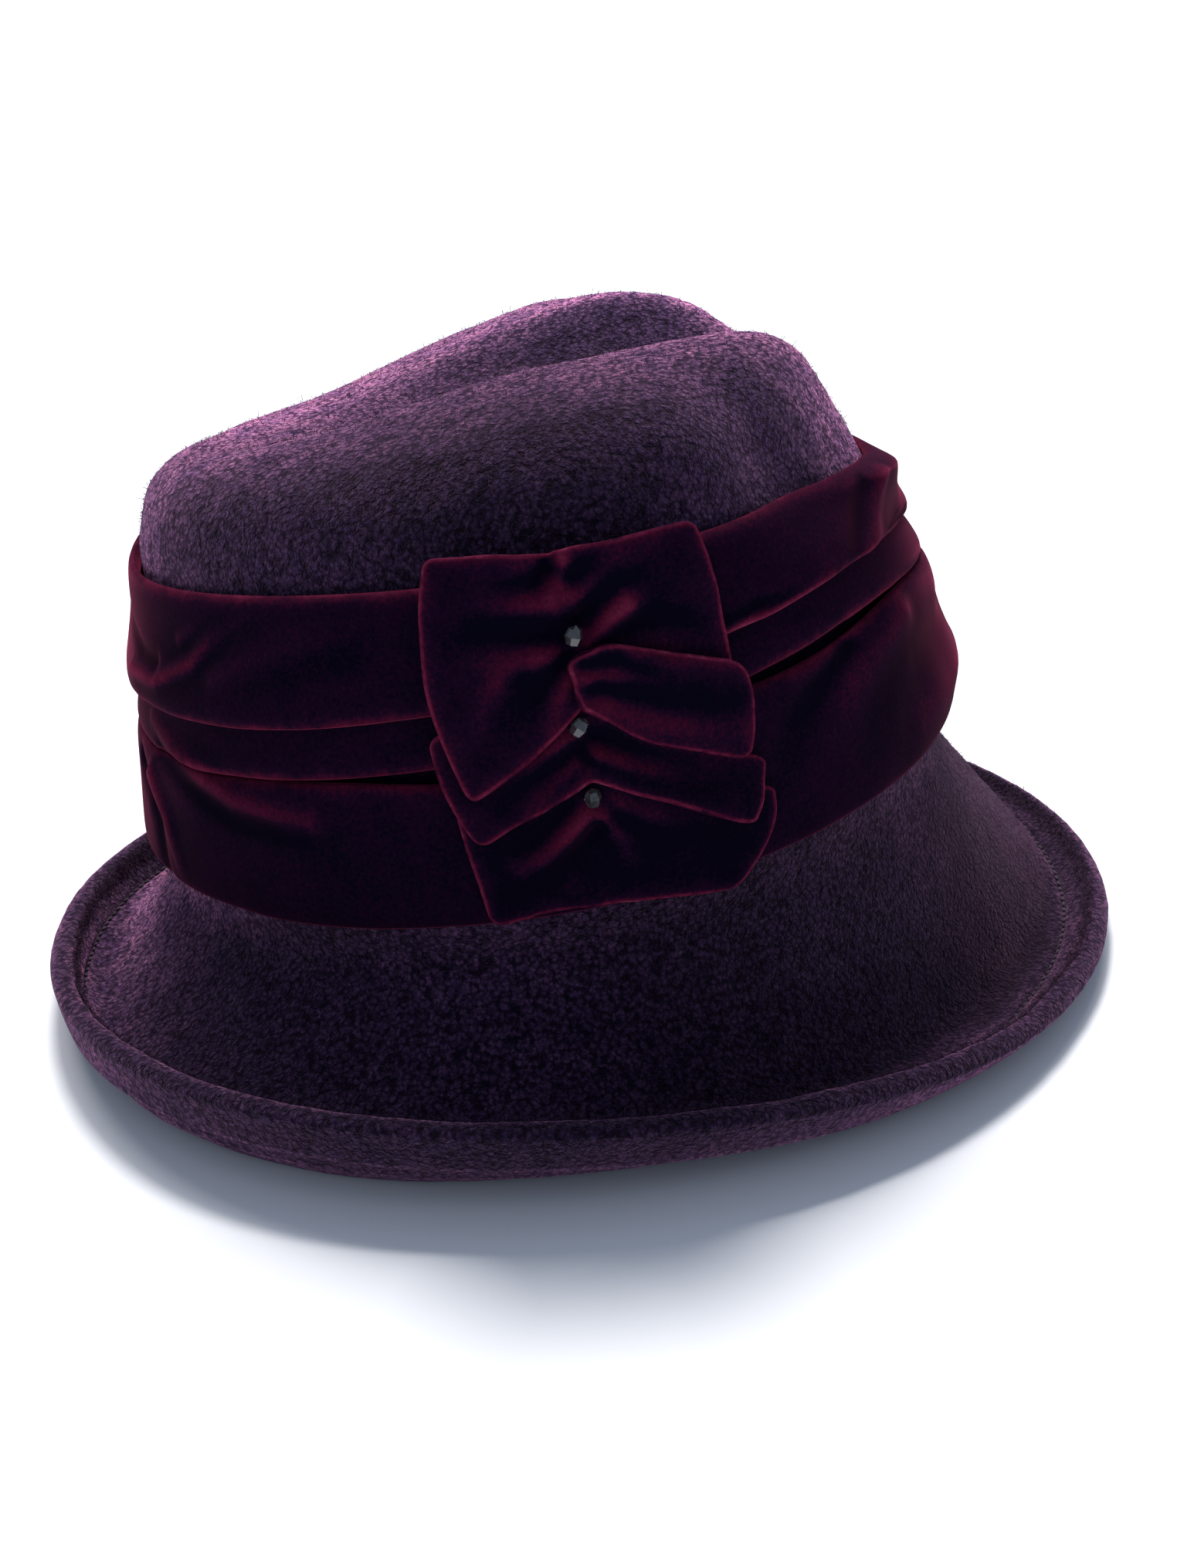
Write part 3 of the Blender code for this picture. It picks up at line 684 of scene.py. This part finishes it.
def stitches(outer, normal, runs, look):
    """The hem's machine stitching: short rounded threads sunk in the groove, end to end."""
    at = np.array([np.interp(HEM_WIDTH, run, np.arange(len(run))) for run in runs])
    low = np.floor(at).astype(int)
    share = (at - low)[:, None]
    index = np.arange(len(runs))
    line = outer[index, low] * (1 - share) + outer[index, low + 1] * share
    seam = np.concatenate([line, unit(normal[index, low])], 1)
    seam = np.concatenate([seam, seam[:1]])
    run = travelled(seam[:, :3])
    count = int(run[-1] / STITCH_PITCH)
    lift = STITCH_RADIUS * (0.1 + 0.9 * np.sin(np.pi * np.linspace(0, 1, STITCH_RINGS)))
    radius = STITCH_RADIUS * np.sqrt(np.clip(1 - np.linspace(-0.97, 0.97, STITCH_RINGS) ** 4, 0.05, 1))
    angle = math.tau * np.arange(STITCH_SIDES)[:, None] / STITCH_SIDES
    size = STITCH_RINGS * STITCH_SIDES
    a = np.arange(size - STITCH_SIDES)
    b = a - a % STITCH_SIDES + (a + 1) % STITCH_SIDES
    pattern = np.stack([a, a + STITCH_SIDES, b + STITCH_SIDES, b], 1).tolist()
    pattern += [list(range(STITCH_SIDES)), list(range(size - 1, size - STITCH_SIDES - 1, -1))]
    points, faces = [], []
    for k in range(count):
        centre = run[-1] * (k + 0.5) / count
        spots = centre + STITCH_LENGTH * np.linspace(-0.5, 0.5, STITCH_RINGS)
        path, rise = np.split(read_at(seam, run, spots % run[-1]), 2, axis=1)
        rise = unit(rise)
        path = path + rise * lift[:, None]
        ahead = unit(np.gradient(path, axis=0))
        aside = unit(np.cross(ahead, rise))
        beside = np.cross(aside, ahead)
        ring = aside[:, None] * np.cos(angle) + beside[:, None] * np.sin(angle)
        points.append(path[:, None] + ring * radius[:, None, None])
        faces += [[k * size + v for v in face] for face in pattern]
    return mesh_object("hem_stitches", np.reshape(points, (-1, 3)), faces, look)


def fibres(name, points, normal, weights, count, seed, look, longer):
    """Loose wool fibres: thin closed hairs, most curled over the surface and some standing off it."""
    random = np.random.default_rng(seed)
    points, normal = points.reshape(-1, 3), normal.reshape(-1, 3)
    chosen = random.choice(len(points), count, p=weights.ravel() / weights.sum())
    root = points[chosen] + random.normal(0, FIBRE_SCATTER, (count, 3))
    up = normal[chosen]
    root -= up * ((root - points[chosen]) * up).sum(1, keepdims=True)
    side = unit(np.cross(up, random.normal(0, 1, (count, 3))))
    third = np.cross(up, side)
    standing = random.random(count) < STANDING_SHARE
    lean = np.where(standing, random.uniform(0.1, 0.9, count), random.uniform(1.0, 1.35, count))
    curl = np.where(standing, random.uniform(0.2, 1.6, count), random.uniform(0.2, 0.9, count))
    length = longer * (FIBRE_LENGTH + FIBRE_MORE * random.random(count) ** 1.8)
    length = np.where(random.random(count) < LONG_SHARE, length * LONG_FACTOR, length)
    thin = random.uniform(*FIBRE_THICKNESS, count)
    sweep = random.uniform(-0.8, 0.8, count)
    path = [root - up * FIBRE_SUNK]
    for k in range(2):
        angle = (lean + curl * k)[:, None]
        aside = side * np.cos(sweep * k)[:, None] + third * np.sin(sweep * k)[:, None]
        path.append(path[-1] + (up * np.cos(angle) + aside * np.sin(angle)) * (length / 2)[:, None])
    made = []
    for k in range(2):
        for s in range(3):
            angle = math.tau * s / 3
            offset = third * math.cos(angle) + (up + side) * (0.7 * math.sin(angle))
            made.append(path[k] + offset * thin[:, None])
    made.append(path[2])
    block = np.stack(made, 1)
    pattern = [(0, 2, 1)]
    for s in range(3):
        a, b = s, (s + 1) % 3
        pattern += [(a, b, b + 3, a + 3), (a + 3, b + 3, 6)]
    faces = []
    for i in range(count):
        faces.extend(tuple(7 * i + v for v in face) for face in pattern)
    return mesh_object(name, block.reshape(-1, 3), faces, look)


# Velvet

def band_section(count):
    """Heights and stand-offs of the band's section as shares, evenly along a smooth curve."""
    rows = np.array(BAND_SECTION) / SECTION_UNITS
    scale = np.array([BAND_HEIGHT, BAND_PUFF])
    run = travelled(rows * scale)
    dense = np.linspace(0, run[-1], count * 12)
    path = np.stack([through(run, column, dense) for column in rows.T], 1)
    run = travelled(path * scale)
    return read_at(path, run, np.linspace(0, run[-1], count))


def creased(places, scale, creases, units):
    """How far creases and ridges move a surface out, in metres, at each of an array of places."""
    places = places * scale
    moved = np.zeros(places.shape[:-1])
    for start, end, width, *line in creases:
        line = np.array(line) / units * scale
        passed = travelled(line)
        nearest = np.full(moved.shape, np.inf)
        share = np.zeros(moved.shape)
        for k, span in enumerate(np.diff(passed)):
            way = (line[k + 1] - line[k]) / span
            run = np.clip((places - line[k]) @ way, 0, span)
            gap = norm(places - line[k] - run[..., None] * way, axis=-1)
            closer = gap < nearest
            nearest = np.where(closer, gap, nearest)
            share = np.where(closer, (passed[k] + run) / passed[-1], share)
        wide = CREASE_SIZE * width * (1 + 0.4 * share)
        moved += CREASE_SIZE * (start + (end - start) * share) * bump(nearest, wide)
    return moved


def curl_of(grid, normal):
    """How sharply a grid that closes round bends away from its normals, in turns to the metre."""
    total = np.zeros(grid.shape[:2])
    for axis, around in ((0, True), (1, False)):
        step = slope(grid, axis, around)
        bend = slope(unit(step), axis, around)
        total -= (bend * normal).sum(2) / np.maximum(norm(step, axis=2), 1e-7)
    return total


def band_turns():
    """The turns of the band's columns, closer together where its creases are fine."""
    fine = np.linspace(0, FULL_TURN, 1441)
    wanted = 1 + sum(more * bump(fine - turn, width) for turn, width, more in BAND_FINER)
    wanted = np.concatenate([[0], np.cumsum((wanted[1:] + wanted[:-1]) / 2)])
    return np.interp(wanted[-1] * np.arange(BAND_COLUMNS) / BAND_COLUMNS, wanted, fine)


def band_stand_off(turn, height, out):
    """The section's stand-off at each turn, with the upper fold loose in front and drawn in behind."""
    upper_fold = smooth_step((height - UPPER_FOLD) / 0.06)
    loose = bump(turn - UPPER_LOOSE[0], UPPER_LOOSE[1])[:, None] * upper_fold
    drawn = bump(turn - UPPER_DRAWN[0], UPPER_DRAWN[1])[:, None] * upper_fold
    row = np.arange(BAND_ROWS)[None, :]
    face_row = (row <= np.argmax(out)) * smooth_step((row - 4) / 7)
    upright = 0.38 + 0.75 * smooth_step((height - 0.66) / 0.30)
    stood = out + (upright - out) * 0.85 * loose * face_row
    return np.where(face_row > 0, stood, out * (1 - 0.55 * loose)) * (1 - 0.15 * drawn)


def velvet_band(look):
    """The draped strip as one closed mesh: its pile face, with folds and creases, and its back."""
    turn = band_turns()
    section = band_section(BAND_ROWS)
    height, out = section[None, :, 0], section[None, :, 1]
    lower = np.arange(BAND_ROWS) > np.argmin(np.abs(height[0] - 0.44) + np.abs(out[0] - 0.15))
    out = band_stand_off(turn, height, out)
    top, rise = (curve(BAND_STATIONS, "turn", turn, end, around=True) for end in ("top", "rise"))
    share = height * top[:, None] + rise[:, None] * 4 * height * (1 - height)
    turns = np.repeat(turn[:, None], BAND_ROWS, 1)
    heights = BAND_FOOT + BAND_HEIGHT * share
    plain = crown_point(turns, heights)
    puffed = smooth_step((out - 0.45) / 0.4)
    beside_bow = smooth_step((np.abs(turns - BOW_TURN) - BOW_CLEAR) / 5)
    opened = sum(drop * bump(turns - at, width) for at, width, drop in BAND_OPEN)
    opened = opened * lower * bump(height - 0.45, 0.07) * smooth_step(out / 0.3)
    heights = heights - BAND_HEIGHT * opened + lumps(plain, BAND_WANDER)
    places = np.stack([turns, share], -1)
    relief = creased(places, np.array([BAND_DEGREE, BAND_HEIGHT]), BAND_CREASES, CREASE_UNITS)
    sway = (lumps(plain, BAND_SWAY) + relief) * beside_bow
    face = to_world(crown_point(turns, heights, CLEARANCE + BAND_PUFF * out + puffed * sway))
    normal = grid_normals(face, True)
    back = (face - normal * BAND_CLOTH)[:, ::-BAND_BACK_STEP]
    grid = np.concatenate([face, back], 1)
    faces = grid_faces(*grid.shape[:2], True, closed_rows=True, flip=True)

    # The edge layer is painted sheen, light and shade: brighter at the band's sharp bends and on its
    # ridges, darker in its creases, lighter where it faces up, with less of the bends' painted sheen
    # near its low edge
    bent = np.clip(curl_of(face, normal) / 900.0, 0, 1)
    risen = (relief - soften(soften(relief, 6.0, 0, wrap=True), 7.0, 1)) / 0.001
    low_edge = 0.30 + 0.70 * smooth_step(height / 0.12)
    edge = 0.36 * bent * (0.75 + lumps(face, BAND_SHEEN_LUMPS)) * low_edge
    edge += 0.19 * np.clip(risen, -0.8, 1.5) * puffed
    edge += 0.10 * np.clip(normal[..., 2] - 0.25, -0.1, 0.6)
    edge = np.concatenate([edge, np.zeros(back.shape[:2])], 1)
    return mesh_object("band_velvet", grid.reshape(-1, 3), faces, look, edge=edge)


def bow_point(across, height, standoff):
    """Points on the bow: across from its gather towards the back, and up, as shares of its size."""
    turn = BOW_TURN + across * BOW_SPREAD / BAND_DEGREE
    return crown_point(turn, BOW_FOOT + BOW_HEIGHT * height, standoff)


def net_points(net, across, down):
    """The net's smooth surface, read at shares across it and down it."""
    net = np.array(net) / NET_UNITS
    rows, columns = net.shape[:2]
    fine_across = np.linspace(0, columns - 1, NET_ACROSS + 1)
    fine_down = np.linspace(0, rows - 1, NET_DOWN + 1)
    full = np.empty((NET_DOWN + 1, NET_ACROSS + 1, 3))
    for axis in range(3):
        lines = np.array([through(np.arange(columns), row[:, axis], fine_across) for row in net])
        for k in range(NET_ACROSS + 1):
            full[:, k, axis] = through(np.arange(rows), lines[:, k], fine_down)
    x, y = across * NET_ACROSS, down * NET_DOWN
    x0 = np.clip(np.floor(x).astype(int), 0, NET_ACROSS - 1)
    y0 = np.clip(np.floor(y).astype(int), 0, NET_DOWN - 1)
    x, y = (x - x0)[..., None], (y - y0)[..., None]
    above = full[y0, x0] * (1 - x) + full[y0, x0 + 1] * x
    below = full[y0 + 1, x0] * (1 - x) + full[y0 + 1, x0 + 1] * x
    return above * (1 - y) + below * y


def crowded(count):
    """Shares from 0 to 1, closer together near both ends."""
    even = np.linspace(0, 1, count)
    return 0.55 * even + 0.45 * (0.5 - 0.5 * np.cos(np.pi * even))


def rounded(across, down, reach_across, reach_down):
    """Draws the corners of a square in to quarter rounds."""
    p = np.clip(1 - np.minimum(across, 1 - across) / reach_across, 0, 1)
    q = np.clip(1 - np.minimum(down, 1 - down) / reach_down, 0, 1)
    drawn = 1 - np.maximum(p, q) / np.maximum(np.hypot(p, q), 1e-9)
    across = across + np.where(across < 0.5, 1, -1) * reach_across * p * drawn
    down = down + np.where(down < 0.5, 1, -1) * reach_down * q * drawn
    return across, down


def bow_room(height):
    """How far the bow may sink towards the band at a height, so that it stays clear of its folds."""
    section = band_section(200)
    share = (BOW_FOOT + BOW_HEIGHT * height - BAND_FOOT) / BAND_HEIGHT
    levels = np.linspace(-0.1, 1.3, 57)
    reach = [section[np.abs(section[:, 0] - level) < 0.085, 1] for level in levels]
    most = np.array([found.max() if len(found) else 0.45 for found in reach])
    return BAND_PUFF * (1 - np.interp(share, levels, most))


def bow_tier(name, look):
    """A tier of doubled velvet: its front face, its back, and the soft double roll of its edges."""
    side, down = np.meshgrid(crowded(TIER_COLUMNS), crowded(TIER_ROWS), indexing="ij")
    side, down = rounded(side, down, *BOW_TIERS[name]["corner"])
    spots = net_points(BOW_NETS[name], side, down)
    across, height, lift = np.moveaxis(spots, -1, 0)
    plain = np.stack([across * BOW_SPREAD, height * BOW_HEIGHT, np.zeros_like(lift)], -1)
    across = across + lumps(plain, TIER_SHIFT)
    height = height + lumps(plain, TIER_RISE)
    scale = np.array([BOW_SPREAD, BOW_HEIGHT])
    relief = creased(spots[..., :2], scale, BOW_CREASES[name], NET_UNITS[:2])
    relief += lumps(plain, TIER_LUMPS)
    for bead in BEADS:
        gap = norm((spots[..., :2] - bead) * scale, axis=-1)
        relief -= np.clip(relief, 0, None) * bump(gap, BEAD_WIDTH)
    lifted = LIFT_LAYERS * BOW_VELVET * lift
    fronts = []
    for standoff in (lifted, np.maximum(lifted + relief, -bow_room(height))):
        front = to_world(bow_point(across, height, BOW_BASE + standoff))
        front = soften(soften(front, 1.0, 0), 0.8, 1)
        fronts.append((front, -grid_normals(front, False)))
    # opened is painted light and shade: brighter on the ridges and where the creases tip the face up,
    # darker in the creases and where they tip it down, and darker towards the bow's bottom
    risen = (relief - soften(soften(relief, 7.0, 0), 7.0, 1)) / 0.001
    tipped = fronts[1][1][..., 2] - fronts[0][1][..., 2]
    opened = 0.19 * np.clip(risen, -1.0, 1.7) + 0.40 * np.clip(tipped, -0.40, 0.8)
    opened -= 0.07 * smooth_step((0.50 - height) / 0.35)
    return slab(name + "_velvet", *fronts[1], opened, look)


def slab(name, front, normal, opened, look):
    """A closed sheet of doubled velvet behind a grid of front points, with a rolled edge and painted
    sheen along its rims.
    """
    columns, rows = front.shape[:2]
    back = front - normal * BOW_VELVET
    points = [front.reshape(-1, 3), back.reshape(-1, 3)]
    count = columns * rows
    faces = grid_faces(columns, rows, False)
    faces += grid_faces(columns, rows, False, first=count, flip=True)
    loop = [(i, 0) for i in range(columns)] + [(columns - 1, j) for j in range(1, rows)]
    loop += [(i, rows - 1) for i in range(columns - 2, -1, -1)]
    loop += [(0, j) for j in range(rows - 2, 0, -1)]
    i, j = np.array(loop).T
    rim, rim_back = front[i, j], back[i, j]
    tangent = unit(soften(slope(rim, 0, True), 1.5, 0, wrap=True))
    outward = -unit(np.cross(tangent, normal[i, j]))
    ids = [i * rows + j]
    size = len(loop)
    for k in range(RIM_ROWS):
        depth = (k + 1) / (RIM_ROWS + 1)
        layer = depth * 2 % 1.0
        reach = 0.5 * BOW_VELVET * RIM_SWELL * math.sqrt(max(0.0, 1 - (2 * layer - 1) ** 2))
        points.append(rim * (1 - depth) + rim_back * depth + outward * (reach + 0.0001))
        ids.append(2 * count + k * size + np.arange(size))
    ids.append(count + i * rows + j)
    for a, b in zip(ids, ids[1:]):
        quads = np.stack([a, np.roll(a, -1), np.roll(b, -1), b], 1)
        faces += quads.tolist()
    points = np.concatenate(points)
    gap = np.full((columns, rows), np.inf)
    for axis in (0, 1):
        steps = norm(np.diff(front, axis=axis), axis=2)
        zero = np.zeros_like(np.take(steps, [0], axis))
        run = np.concatenate([zero, np.cumsum(steps, axis)], axis)
        gap = np.minimum(gap, np.minimum(run, np.take(run, [-1], axis) - run))
    # The edge layer: painted sheen in a thin bright line and a softer glow inside the rims, and on the
    # rolled edge, with the tier's painted light and shade added
    line_sheen = 0.75 + lumps(front, LINE_SHEEN_LUMPS)
    edge = np.zeros(len(points))
    inside = 0.26 * line_sheen * np.exp(-gap / 0.00024) + 0.15 * np.exp(-gap / 0.0019) + opened
    edge[:count] = inside.ravel()
    edge[count:2 * count] = 0.05
    rim_sheen = 0.40 + lumps(rim, RIM_SHEEN_LUMPS)
    for k in range(RIM_ROWS):
        start = 2 * count + k * size
        edge[start:start + size] = rim_sheen * (0.85 if k < 2 else 0.30)
    return mesh_object(name, points, faces, look, edge=edge)


# Materials

def shader(name, **numbers):
    """A material, its node tree and its surface node, whose sockets take these numbers."""
    made = bpy.data.materials.new(name)
    made.use_nodes = True
    surface = made.node_tree.nodes["Principled BSDF"]
    for socket, value in numbers.items():
        surface.inputs[socket.replace("_", " ")].default_value = value
    return made, made.node_tree, surface


def add_node(tree, kind, inputs, **settings):
    """A new node with these settings; each of its inputs is a number or another node's output."""
    made = tree.nodes.new("ShaderNode" + kind)
    for setting, value in settings.items():
        setattr(made, setting, value)
    for socket, value in inputs.items():
        if isinstance(value, bpy.types.NodeSocket):
            tree.links.new(value, made.inputs[socket])
        else:
            made.inputs[socket].default_value = value
    return made


def lumpy(tree, scale, detail, roughness=0.5, distortion=0.0, output="Fac"):
    """A noise in the object's own coordinates, in lumps to the metre."""
    place = add_node(tree, "TexCoord", {})
    return add_node(tree, "TexNoise", {
        "Vector": place.outputs["Object"], "Scale": scale, "Detail": detail,
        "Roughness": roughness, "Distortion": distortion,
    }).outputs[output]


def ramp(tree, source, *stops):
    """Colours along a number's range, each stop as its position, red, green and blue."""
    made = add_node(tree, "ValToRGB", {"Fac": source})
    while len(made.color_ramp.elements) < len(stops):
        made.color_ramp.elements.new(0.5)
    for element, (position, *colour) in zip(made.color_ramp.elements, stops):
        element.position = position
        element.color = (*colour, 1.0)
    return made.outputs["Color"]


def raise_surface(tree, surface, height, strength, distance):
    """Lets the surface's light follow a height."""
    relief = add_node(tree, "Bump", {"Strength": strength, "Distance": distance, "Height": height})
    tree.links.new(relief.outputs["Normal"], surface.inputs["Normal"])


def felt_look():
    """Boiled wool: curly nubs with painted shade in the pits between them, mottled, with painted sheen
    where it is seen edge-on, and the mesh's painted light and shade.
    """
    made, tree, surface = shader(
        "boiled wool", Roughness=0.95,
        Sheen_Weight=0.22, Sheen_Roughness=0.45, Sheen_Tint=(0.8, 0.44, 0.7, 1.0),
        Specular_IOR_Level=0.05,
    )
    warp = lumpy(tree, 700.0, 2.0, output="Color")
    shift = add_node(tree, "VectorMath", {
        0: warp, 1: (0.0022, 0.0022, 0.0022),
        2: add_node(tree, "TexCoord", {}).outputs["Object"],
    }, operation="MULTIPLY_ADD")
    nubs = add_node(tree, "TexVoronoi", {"Scale": 780.0, "Vector": shift.outputs["Vector"]})
    mottle = lumpy(tree, 110.0, 4.0, 0.7)
    curls = lumpy(tree, 1100.0, 2.0, 0.6, 1.5)
    facing = add_node(tree, "LayerWeight", {"Blend": 0.5})
    worn = add_node(tree, "Attribute", {}, attribute_name="worn")
    # Light on the nubs' middles and dark in the pits between them: painted shade in the pits
    colour = ramp(
        tree, nubs.outputs["Distance"],
        (0.12, 0.096, 0.054, 0.09),
        (0.35, 0.06, 0.033, 0.06),
        (0.56, 0.026, 0.014, 0.03),
        (0.76, 0.0065, 0.0036, 0.0105),
    )
    strands = ramp(
        tree, curls,
        (0.36, 0.62, 0.6, 0.66),
        (0.52, 1.0, 0.98, 1.0),
        (0.68, 1.7, 1.65, 1.6),
    )
    tone = ramp(tree, mottle, (0.34, 0.6, 0.6, 0.76), (0.66, 1.34, 1.24, 1.18))
    # Painted sheen: the colour darker face on and up to about three times lighter where the surface is
    # seen edge-on
    painted_sheen = ramp(
        tree, facing.outputs["Facing"],
        (0.05, 0.46, 0.44, 0.68),
        (0.35, 0.36, 0.38, 0.56),
        (0.6, 1.25, 1.1, 1.3),
        (0.85, 3.6, 2.85, 3.05),
    )
    # Painted light and shade from the mesh's layer: darker below the unpainted level, up to about five
    # times lighter on the crown's top
    light_and_shade = ramp(
        tree, worn.outputs["Fac"],
        (0.0, 0.24, 0.25, 0.28),
        (UNPAINTED_LEVEL, 1.0, 1.0, 1.0),
        (1.0, 4.9, 4.6, 4.2),
    )
    for layer in (strands, tone, painted_sheen, light_and_shade):
        layers = {"Factor": 1.0, 6: colour, 7: layer}
        colour = add_node(tree, "Mix", layers, data_type="RGBA", blend_type="MULTIPLY").outputs[2]
    tree.links.new(colour, surface.inputs["Base Color"])
    raised = add_node(
        tree, "Math", {0: nubs.outputs["Distance"], 1: -1.0, 2: curls},
        operation="MULTIPLY_ADD",
    )
    raise_surface(tree, surface, raised.outputs[0], 0.9, 0.0008)
    return made


def fibre_look():
    return shader(
        "wool fibre", Roughness=0.9, Specular_IOR_Level=0.1, Base_Color=(0.055, 0.028, 0.056, 1.0),
    )[0]


def two_tone(made, tree, surface, scale, detail, *stops):
    """Colours the surface by a fine noise."""
    colour = ramp(tree, lumpy(tree, scale, detail), *stops)
    tree.links.new(colour, surface.inputs["Base Color"])
    return made


def thread_look():
    return two_tone(
        *shader("hem thread", Roughness=0.7, Sheen_Weight=0.2, Specular_IOR_Level=0.3),
        2500.0, 1.0, (0.3, 0.006, 0.002, 0.007), (0.7, 0.024, 0.01, 0.022),
    )


def velvet_look():
    """Cut-pile velvet: near black face on, crimson where it turns away, and crimson to pink with the
    edge layer's painted sheen, light and shade.
    """
    made, tree, surface = shader(
        "velvet", Roughness=0.85,
        Sheen_Weight=0.24, Sheen_Roughness=0.3, Sheen_Tint=(0.85, 0.1, 0.24, 1.0),
        Specular_IOR_Level=0.014,
    )
    brushed = lumpy(tree, 90.0, 4.0, 0.65)
    tufts = lumpy(tree, 1150.0, 3.0, 0.75)
    # The edge layer brings the painted sheen, light and shade; the two noises add tone that differs at
    # random
    opened = add_node(tree, "Attribute", {}, attribute_name="edge").outputs["Fac"]
    for texture, share in ((brushed, 0.14), (tufts, 0.4)):
        opened = add_node(
            tree, "Math", {0: texture, 1: share, 2: opened}, operation="MULTIPLY_ADD",
        ).outputs[0]
    colour = ramp(
        tree, opened,
        (0.2, 0.0014, 0.001, 0.006),
        (0.34, 0.011, 0.0022, 0.0135),
        (0.5, 0.05, 0.004, 0.018),
        (0.74, 0.12, 0.0115, 0.037),
        (1.0, 0.25, 0.055, 0.095),
    )
    tree.links.new(colour, surface.inputs["Base Color"])
    raise_surface(tree, surface, lumpy(tree, 2600.0, 2.0), 0.25, 0.0002)
    return made


def bead_look():
    return two_tone(
        *shader("cut bead", Roughness=0.1, Coat_Weight=1.0, Coat_Roughness=0.04),
        700.0, 2.0, (0.3, 0.012, 0.012, 0.016), (0.7, 0.045, 0.046, 0.052),
    )


# Stage

FLOOR_REACH = 40
SUN_COLOUR = (1.0, 0.97, 0.95)
# Each sun's name, strength, width in degrees and the way towards it
SUNS = (
    ("key", 2.6, 13, (0.58, -0.06, 1.0)),
    ("key_left", 0.9, 18, (0.76, -0.4, 1.0)),
    ("key_right", 0.9, 18, (0.76, 0.3, 1.0)),
)
CAMERA_PLACE = Vector((-0.37152, 0.08694, 0.20787))
CAMERA_TARGET = Vector((-0.01726, 0.00582, 0.04078))
CAMERA_ROLL = math.radians(-0.5507)
PHOTO_HEIGHT = 2031.0
FOCAL_LENGTH = 2002.0
SENSOR = 36.0


def camera():
    """The photograph's camera; its focal length and the photo's height are in the photo's pixels."""
    back = (CAMERA_PLACE - CAMERA_TARGET).normalized()
    right = Vector((0, 0, 1)).cross(back).normalized()
    up = back.cross(right)
    turned_right = right * math.cos(CAMERA_ROLL) + up * math.sin(CAMERA_ROLL)
    turned_up = up * math.cos(CAMERA_ROLL) - right * math.sin(CAMERA_ROLL)
    data = bpy.data.cameras.new("camera")
    data.sensor_width = SENSOR
    data.lens = SENSOR * FOCAL_LENGTH / PHOTO_HEIGHT
    data.clip_start = 0.01
    data.clip_end = 200.0
    made = bpy.data.objects.new("camera", data)
    axes = Matrix((turned_right, turned_up, back)).transposed().to_4x4()
    made.matrix_world = Matrix.Translation(CAMERA_PLACE) @ axes
    bpy.context.scene.collection.objects.link(made)
    bpy.context.scene.camera = made


def sun(name, energy, angle, toward):
    light = bpy.data.lights.new(name, "SUN")
    light.energy = energy
    light.angle = math.radians(angle)
    light.color = SUN_COLOUR
    lamp = bpy.data.objects.new(name, light)
    lamp.rotation_euler = Vector(toward).normalized().to_track_quat("Z", "Y").to_euler()
    bpy.context.scene.collection.objects.link(lamp)


def studio():
    """A white floor, a soft sky that looks white to the camera, and three soft suns."""
    corners = [(x * FLOOR_REACH, y * FLOOR_REACH, 0) for x, y in ((-1, -1), (1, -1), (1, 1), (-1, 1))]
    paper, _, _ = shader(
        "white paper", Roughness=0.9, Specular_IOR_Level=0.1, Base_Color=(0.92, 0.93, 0.95, 1.0),
    )
    mesh_object("floor", corners, [(0, 1, 2, 3)], paper)
    sky = bpy.data.worlds.new("studio")
    sky.use_nodes = True
    tree = sky.node_tree
    glow = tree.nodes["Background"]
    glow.inputs["Color"].default_value = (0.68, 0.79, 1.0, 1.0)
    glow.inputs["Strength"].default_value = 0.42
    white = add_node(tree, "Background", {"Strength": 1.3})
    seen = add_node(tree, "LightPath", {})
    mix = add_node(tree, "MixShader", {
        "Fac": seen.outputs["Is Camera Ray"],
        1: glow.outputs["Background"], 2: white.outputs["Background"],
    })
    tree.links.new(mix.outputs["Shader"], tree.nodes["World Output"].inputs["Surface"])
    bpy.context.scene.world = sky
    for row in SUNS:
        sun(*row)
    bpy.context.scene.view_settings.view_transform = "Standard"


def place(piece, slot, stands_for=None):
    """Hides the model part that a piece stands for, if any, and sets the piece on a body: all of them
    ride on the hat's one body.
    """
    if stands_for:
        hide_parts(stands_for)
    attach(piece, "root")
    return piece


def main():
    for old in [o for o in bpy.data.objects if o.type in ("CAMERA", "LIGHT")]:
        bpy.data.objects.remove(old)
    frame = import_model()
    camera()
    studio()
    wool, fibre, velvet = felt_look(), fibre_look(), velvet_look()
    hat, outer, normal, runs = felt_hat(wool)
    place(hat, "felt", "felt_body")
    place(stitches(outer, normal, runs, thread_look()), "felt")

    step = norm(np.cross(np.roll(outer, -1, 0) - outer, slope(outer, 1)), axis=2)
    for name, first, last, count, seed, longer in FIBRES:
        part = np.zeros(step.shape)
        part[:, first:last] = 1
        place(fibres(name, outer, normal, step * part, count, seed, fibre, longer), "felt")

    band = place(velvet_band(velvet), "velvet", "velvet_band")
    for name, tier in BOW_TIERS.items():
        made = place(bow_tier(name, velvet), "velvet", name)
    glass = bead_look()
    for name in ("bead_1", "bead_2", "bead_3"):
        node = frame["nodes"][name]
        node.data.materials.clear()
        node.data.materials.append(glass)


main()
